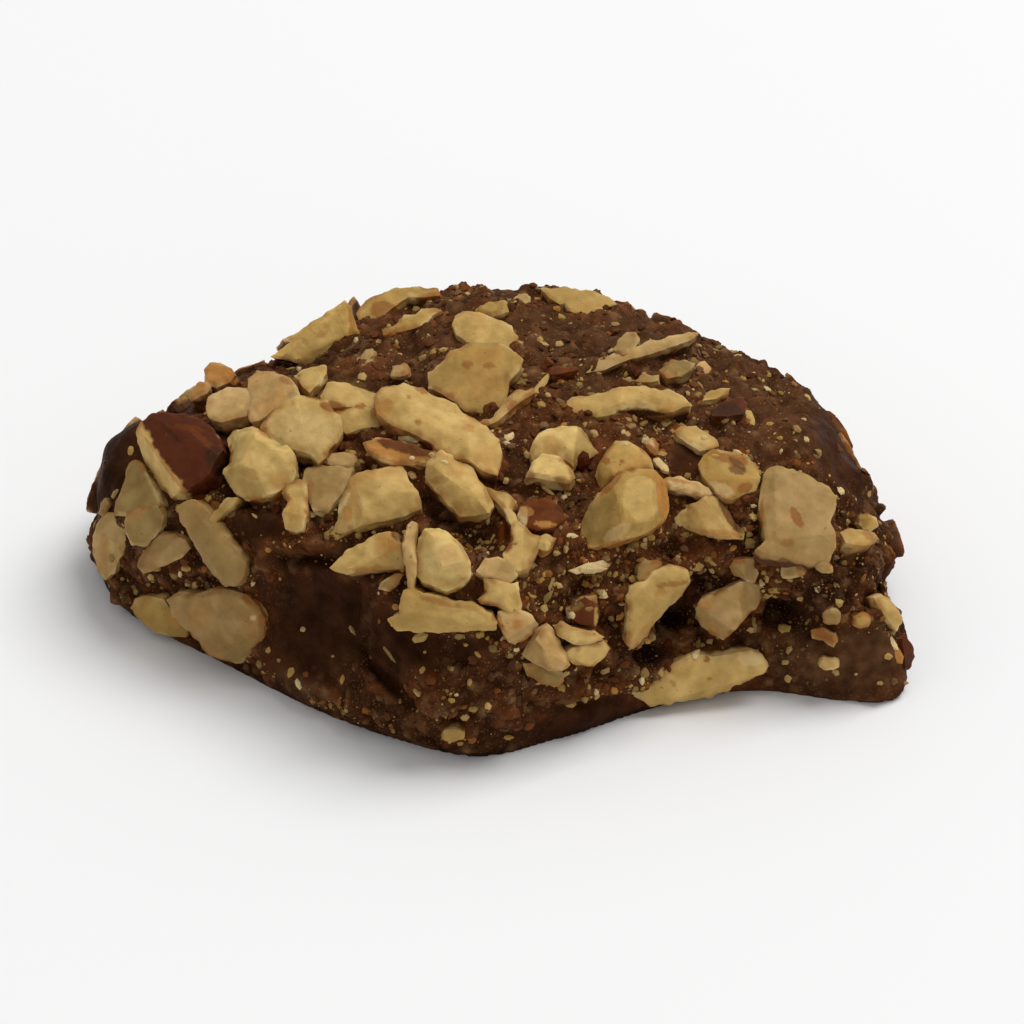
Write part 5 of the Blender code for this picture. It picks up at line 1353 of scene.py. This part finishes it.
def crumbShapes(seed):
    # a few angular crumbs, each made from a small faceted ball
    shapes = []
    for k in range(crumbPlaces["kinds"]):
        draw = random.Random(seed * 10 + k)
        bpy.ops.mesh.primitive_ico_sphere_add(subdivisions=1, radius=0.5)
        ball = bpy.context.object
        stretch = Vector((1.0, draw.uniform(*crumbPlaces["wide"]), draw.uniform(*crumbPlaces["flat"])))
        for vertex in ball.data.vertices:
            vertex.co = Vector([part * side * draw.uniform(*crumbPlaces["uneven"])
                                for part, side in zip(vertex.co, stretch)])
        corners = np.array([vertex.co for vertex in ball.data.vertices])
        faces = np.array([tuple(face.vertices) for face in ball.data.polygons])
        shapes.append((corners, faces))
        bpy.data.objects.remove(ball)
    return shapes


def addCrumb(heap, shape, axes, point, colour):
    placed = shape[0] @ np.array(axes) + np.array(point)
    placed[:, 2] = np.maximum(placed[:, 2], crumbPlaces["lowest"])
    heap.append((placed, shape[1], np.tile(colour, (len(placed), 1))))


def buildHeap(name, heap):
    # one mesh for all crumbs of a kind
    starts = np.cumsum([0] + [len(placed) for placed, _, _ in heap[:-1]])
    mesh = bpy.data.meshes.new(name)
    corners = np.concatenate([placed for placed, _, _ in heap])
    faces = np.concatenate([faces + start for (_, faces, _), start in zip(heap, starts)])
    mesh.from_pydata(corners.tolist(), [], faces.tolist())
    addTint(mesh, np.concatenate([colours for _, _, colours in heap]))
    thing = bpy.data.objects.new(name, mesh)
    bpy.context.scene.collection.objects.link(thing)
    return thing


def crumbWeights(seed):
    # how likely a crumb is at each point of the coat
    places = crumbPlaces
    weight = np.clip(coatRough - places["roughFrom"], 0, 1) + places["onSmooth"]
    size, low, high, outside = places["clumps"]
    more, reach = places["atAlmonds"]
    weight *= (outside + ramp(softNoise(coatPoints, size, seed), low, high)
               + more * np.exp(-((almondNear / reach) ** 2)))
    columns, rows = onDrawing(coatPoints)
    facing = facingEye(coatPoints, coatNormals)
    heaped = sum(spot[5] * hump(columns, rows, spot) for spot in crumbHeaps)
    weight *= 1 + ramp(facing, *places["shown"]) * heaped
    weight *= ramp(coatPoints[:, 2], *places["overTable"])
    fewer, width = places["atOutline"]
    return weight * (1 - fewer * np.exp(-((facing / width) ** 2)))


def strewCrumbs(name, blocked):
    plan = crumbs[name]
    draw = random.Random(plan["seed"])
    shapes = crumbShapes(plan["seed"])
    running = np.cumsum(crumbWeights(plan["seed"]))
    least, most = plan["size"]
    heap = []
    for _ in range(plan["count"] * 3):
        spot = int(np.searchsorted(running, draw.random() * running[-1]))
        size = least + (most - least) * draw.random() ** crumbPlaces["smallness"]
        point, normal = Vector(coatPoints[spot]), Vector(coatNormals[spot])
        shape = draw.choice(shapes)
        spin = Matrix.Rotation(draw.uniform(0, math.tau), 3, normal)
        leaning = draw.uniform(-crumbPlaces["lean"], crumbPlaces["lean"])
        lean = Matrix.Rotation(leaning, 3, Vector((draw.random(), draw.random(), 0.3)).normalized())
        colour = np.array(tones[draw.choice(plan["tones"])]) * draw.uniform(*crumbPlaces["light"])
        hit = blocked.find_nearest(point)
        if hit[0] is not None and (point - hit[0]).dot(hit[1]) < 0:
            continue
        axes = np.array((lean @ spin @ normal.to_track_quat("Z", "Y").to_matrix()).transposed())
        axes *= np.array([[size], [size], [size * plan["flat"]]])
        addCrumb(heap, shape, axes, point, colour)
        if len(heap) == plan["count"]:
            break
    return heap


def placeCrumbs(heap, covered):
    shapes = crumbShapes(3)
    draw = random.Random(9)
    for column, line, length, width, turn, tone in placedCrumbs:
        sight = sightTo(column, line)[0]
        point, normal = covered.ray_cast(eye, sight)[:2]
        if point is None:
            continue
        normal = (normal - sight * crumbPlaces["outward"]).normalized()
        first, second = axesOn(normal, sight, turn)
        across, height = width * crumbPlaces["placedWidth"], width * crumbPlaces["placedHeight"]
        axes = Matrix((first * length, second * across, normal * height))
        shape = draw.choice(shapes)
        addCrumb(heap, shape, axes, point, np.array(tones[tone]) * draw.uniform(*crumbPlaces["placedLight"]))


print("crumbs")
almondTree = treeOf(almondObjects)
heaps = {name: strewCrumbs(name, almondTree) for name in crumbs}
placeCrumbs(heaps["nutCrumbs"], treeOf(almondObjects + [chocolateCoat]))
crumbObjects = {name: buildHeap(name, heap) for name, heap in heaps.items()}


# Materials
def newMaterial(name, finish):
    material = bpy.data.materials.new(name)
    material.use_nodes = True
    shader = material.node_tree.nodes["Principled BSDF"]
    shader.inputs["Specular IOR Level"].default_value = finish["shine"]
    shader.inputs["Specular Tint"].default_value = (*finish["shineTint"], 1)
    return material, material.node_tree.nodes, material.node_tree.links, shader


def addNoise(nodes, links, coords, size, detail, rough):
    made = nodes.new("ShaderNodeTexNoise")
    made.inputs["Scale"].default_value = 1 / (size * millimetre)
    made.inputs["Detail"].default_value = detail
    made.inputs["Roughness"].default_value = rough
    links.new(coords.outputs["Object"], made.inputs["Vector"])
    return made.outputs["Fac"]


def addRange(nodes, links, value, low, high, toLow, toHigh):
    made = nodes.new("ShaderNodeMapRange")
    made.inputs["From Min"].default_value = low
    made.inputs["From Max"].default_value = high
    made.inputs["To Min"].default_value = toLow
    made.inputs["To Max"].default_value = toHigh
    links.new(value, made.inputs["Value"])
    return made.outputs["Result"]


def addTimes(nodes, links, first, second):
    made = nodes.new("ShaderNodeMath")
    made.operation = "MULTIPLY"
    links.new(first, made.inputs[0])
    links.new(second, made.inputs[1])
    return made.outputs[0]


def addMix(nodes, links, factor, first, second, kind="MIX"):
    made = nodes.new("ShaderNodeMix")
    made.data_type = "RGBA"
    made.blend_type = kind
    for socket, value in ((made.inputs[0], factor), (made.inputs[6], first), (made.inputs[7], second)):
        if isinstance(value, (tuple, float, int)):
            socket.default_value = (*value, 1) if isinstance(value, tuple) else value
        else:
            links.new(value, socket)
    return made.outputs[2]


def addBump(nodes, links, shader, height, strength, distance, under=None):
    made = nodes.new("ShaderNodeBump")
    made.inputs["Strength"].default_value = strength
    made.inputs["Distance"].default_value = distance * millimetre
    links.new(height, made.inputs["Height"])
    if under is not None:
        links.new(under, made.inputs["Normal"])
    links.new(made.outputs["Normal"], shader.inputs["Normal"])
    return made.outputs["Normal"]


def readAttribute(nodes, name):
    made = nodes.new("ShaderNodeAttribute")
    made.attribute_name = name
    return made


# Noises are size in mm, detail, roughness; ranges are from, to, least, most; bumps are strength, mm
chocolateFinish = {
    "clouds": (1.6, 5.0, 0.62),
    "grain": (0.42, 4.0, 0.6),
    "specks": (0.16, 2.0, 0.5),
    "flecks": (0.30, 2.0, 0.5),
    "cloudRange": (0.32, 0.68, 0, 1),
    "grainRange": (0.3, 0.7),
    "brokenRange": (0.0, 1.0, 0.06, 0.85),
    "speckRange": (0.62, 0.70, 0, 0.8),
    "fleckRange": (0.66, 0.72, 0, 0.8),
    "bumpRange": (0.0, 1.0, 0.25, 1.0),
    "bumps": ((0.75, 0.22), (0.35, 0.25), (0.25, 0.06)),
    "speck": (0.24, 0.130, 0.055),
    "fleck": (0.15, 0.045, 0.014),
    "shade": ((0.55, 0.51, 0.48), (1.35, 1.35, 1.35)),
    "roughness": (0.32, 0.56),
    "shine": 0.50,
    "gloss": 1.05,
    "shineTint": (1.0, 0.58, 0.34),
}


def makeChocolate():
    finish = chocolateFinish
    material, nodes, links, shader = newMaterial("darkChocolate", finish)
    coords = nodes.new("ShaderNodeTexCoord")
    tint, rough = readAttribute(nodes, "tint"), readAttribute(nodes, "rough")
    clouds, grain, specks, flecks = (
        addNoise(nodes, links, coords, *finish[name]) for name in ("clouds", "grain", "specks", "flecks")
    )
    shade = addMix(nodes, links, addRange(nodes, links, clouds, *finish["cloudRange"]), *finish["shade"])
    colour = addMix(nodes, links, 1.0, tint.outputs["Color"], shade, "MULTIPLY")
    broken = addRange(nodes, links, rough.outputs["Fac"], *finish["brokenRange"])
    for noise, name in ((specks, "speck"), (flecks, "fleck")):
        spotted = addTimes(nodes, links, addRange(nodes, links, noise, *finish[name + "Range"]), broken)
        colour = addMix(nodes, links, spotted, colour, finish[name])
    links.new(colour, shader.inputs["Base Color"])
    roughness = addRange(nodes, links, grain, *finish["grainRange"], *finish["roughness"])
    links.new(roughness, shader.inputs["Roughness"])
    shader.inputs["IOR"].default_value = finish["gloss"]
    bumpy = addTimes(nodes, links, grain, addRange(nodes, links, rough.outputs["Fac"], *finish["bumpRange"]))
    under = None
    for height, bump in zip((bumpy, clouds, specks), finish["bumps"]):
        under = addBump(nodes, links, shader, height, *bump, under)
    return material


almondFinish = {
    "clouds": (1.3, 5.0, 0.6),
    "grain": (0.35, 4.0, 0.6),
    "specks": (0.30, 2.0, 0.5),
    "fine": (0.13, 3.0, 0.6),
    "cloudRange": (0.35, 0.65, 0, 1),
    "grainRange": (0.3, 0.7),
    "speckRange": (0.70, 0.76, 0, 0.7),
    "bumps": ((0.35, 0.12), (0.25, 0.25), (0.30, 0.05)),
    "glow": 0.30,
    "glowRadius": (1.0, 0.55, 0.25),
    "glowReach": 0.8,                  # mm
    "shade": ((0.84, 0.80, 0.70), (1.08, 1.08, 1.10)),
    "speck": (0.17, 0.075, 0.024),
    "roughness": (0.48, 0.68),
    "shine": 0.14,
    "shineTint": (1.0, 0.85, 0.62),
}


def makeAlmondMaterial():
    finish = almondFinish
    material, nodes, links, shader = newMaterial("choppedAlmond", finish)
    coords = nodes.new("ShaderNodeTexCoord")
    tint = readAttribute(nodes, "tint")
    clouds, grain, specks, fine = (
        addNoise(nodes, links, coords, *finish[name]) for name in ("clouds", "grain", "specks", "fine")
    )
    shade = addMix(nodes, links, addRange(nodes, links, clouds, *finish["cloudRange"]), *finish["shade"])
    colour = addMix(nodes, links, 1.0, tint.outputs["Color"], shade, "MULTIPLY")
    colour = addMix(nodes, links, addRange(nodes, links, specks, *finish["speckRange"]), colour, finish["speck"])
    links.new(colour, shader.inputs["Base Color"])
    roughness = addRange(nodes, links, grain, *finish["grainRange"], *finish["roughness"])
    links.new(roughness, shader.inputs["Roughness"])
    shader.inputs["Subsurface Weight"].default_value = finish["glow"]
    shader.inputs["Subsurface Radius"].default_value = finish["glowRadius"]
    shader.inputs["Subsurface Scale"].default_value = finish["glowReach"] * millimetre
    under = None
    for height, bump in zip((grain, clouds, fine), finish["bumps"]):
        under = addBump(nodes, links, shader, height, *bump, under)
    return material


crumbFinish = {
    "grain": (0.4, 3.0, 0.6),
    "shade": ((0.62, 0.58, 0.52), (1.2, 1.2, 1.2)),
    "roughness": (0.3, 0.7, 0.45, 0.7),
    "shine": 0.08,
    "shineTint": (1.0, 0.70, 0.45),
    "bump": (0.4, 0.15),
}


def makeCrumbMaterial():
    finish = crumbFinish
    material, nodes, links, shader = newMaterial("almondCrumb", finish)
    coords = nodes.new("ShaderNodeTexCoord")
    tint = readAttribute(nodes, "tint")
    grain = addNoise(nodes, links, coords, *finish["grain"])
    shade = addMix(nodes, links, grain, *finish["shade"])
    colour = addMix(nodes, links, 1.0, tint.outputs["Color"], shade, "MULTIPLY")
    links.new(colour, shader.inputs["Base Color"])
    links.new(addRange(nodes, links, grain, *finish["roughness"]), shader.inputs["Roughness"])
    addBump(nodes, links, shader, grain, *finish["bump"])
    return material


print("materials")
darkChocolate, choppedAlmond, almondCrumb = makeChocolate(), makeAlmondMaterial(), makeCrumbMaterial()


def joinPieces(name, pieces):
    bpy.ops.object.select_all(action="DESELECT")
    for piece in pieces:
        piece.select_set(True)
    bpy.context.view_layer.objects.active = pieces[0]
    bpy.ops.object.join()
    joined = bpy.context.object
    joined.name = name
    joined.data.name = name
    return joined


def finishPiece(piece, material):
    piece.data.materials.clear()
    piece.data.materials.append(material)
    shift = Matrix.Translation((lump["standsAt"][0], lump["standsAt"][1], 0))
    piece.data.transform(Matrix.Scale(millimetre, 4) @ shift)
    piece.data.update()
    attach(piece, "root")
    print(piece.name, sum(len(face.vertices) - 2 for face in piece.data.polygons), "triangles")


# Almonds are joined by their cut
almondPieces = {
    "almondSlabs": ("slab",),
    "almondNuggets": ("nugget", "club", "plank", "lens"),
    "almondSlices": ("slice", "moon", "wedge", "sliver", "shard", "brick"),
}
sortedAlmonds = {name: [almond for almond in almondObjects[:len(faceAlmonds)] if almond["cut"] in cuts]
                 for name, cuts in almondPieces.items()}
sortedAlmonds["backAlmonds"] = almondObjects[len(faceAlmonds):]
for name, group in sortedAlmonds.items():
    finishPiece(joinPieces(name, group), choppedAlmond)
finishPiece(chocolateCoat, darkChocolate)
for name, slot in (("nutCrumbs", "almond"), ("skinCrumbs", "almond"), ("chocolateCrumbs", "chocolate")):
    finishPiece(crumbObjects[name], almondCrumb)
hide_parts("toffee_piece")

# Floor, light and camera
stage = {
    "floorSize": 8,
    "floor": {"shine": 0.0, "shineTint": (1, 1, 1), "colour": (0.90, 0.90, 0.90), "roughness": 0.9},
    "sky": 0.50,
    "keyPower": 15.2,
    "keyFrom": (0.60, 0.25, 1.35),
    "keySize": 0.9,
    "sensor": 36,
    "picture": 1024,                   # the drawing's width in its own units
    "clip": (0.01, 20),
}
bpy.ops.mesh.primitive_plane_add(size=stage["floorSize"])
floor = bpy.context.object
floor.name = "floor"
floorMaterial, _, _, floorShader = newMaterial("paleFloor", stage["floor"])
floorShader.inputs["Base Color"].default_value = (*stage["floor"]["colour"], 1)
floorShader.inputs["Roughness"].default_value = stage["floor"]["roughness"]
floor.data.materials.append(floorMaterial)

scene = bpy.context.scene
world = bpy.data.worlds.new("studio")
world.use_nodes = True
world.node_tree.nodes["Background"].inputs["Color"].default_value = (1, 1, 1, 1)
world.node_tree.nodes["Background"].inputs["Strength"].default_value = stage["sky"]
scene.world = world
scene.view_settings.view_transform = "Standard"

keyLight = bpy.data.lights.new("keyLight", "AREA")
keyLight.energy = stage["keyPower"]
keyLight.size = stage["keySize"]
key = bpy.data.objects.new("keyLight", keyLight)
key.location = stage["keyFrom"]
key.rotation_euler = (-Vector(stage["keyFrom"])).to_track_quat("-Z", "Y").to_euler()
scene.collection.objects.link(key)

cameraData = bpy.data.cameras.new("camera")
cameraData.sensor_width = stage["sensor"]
cameraData.lens = stage["sensor"] * drawing["eyeDistance"] / (stage["picture"] * drawing["unit"])
cameraData.clip_start, cameraData.clip_end = stage["clip"]
camera = bpy.data.objects.new("camera", cameraData)
camera.matrix_world = placeOf(
    (eye + Vector((*lump["standsAt"], 0))) * millimetre, drawingRight, drawingUp, -sightLine
)
scene.collection.objects.link(camera)
scene.camera = camera
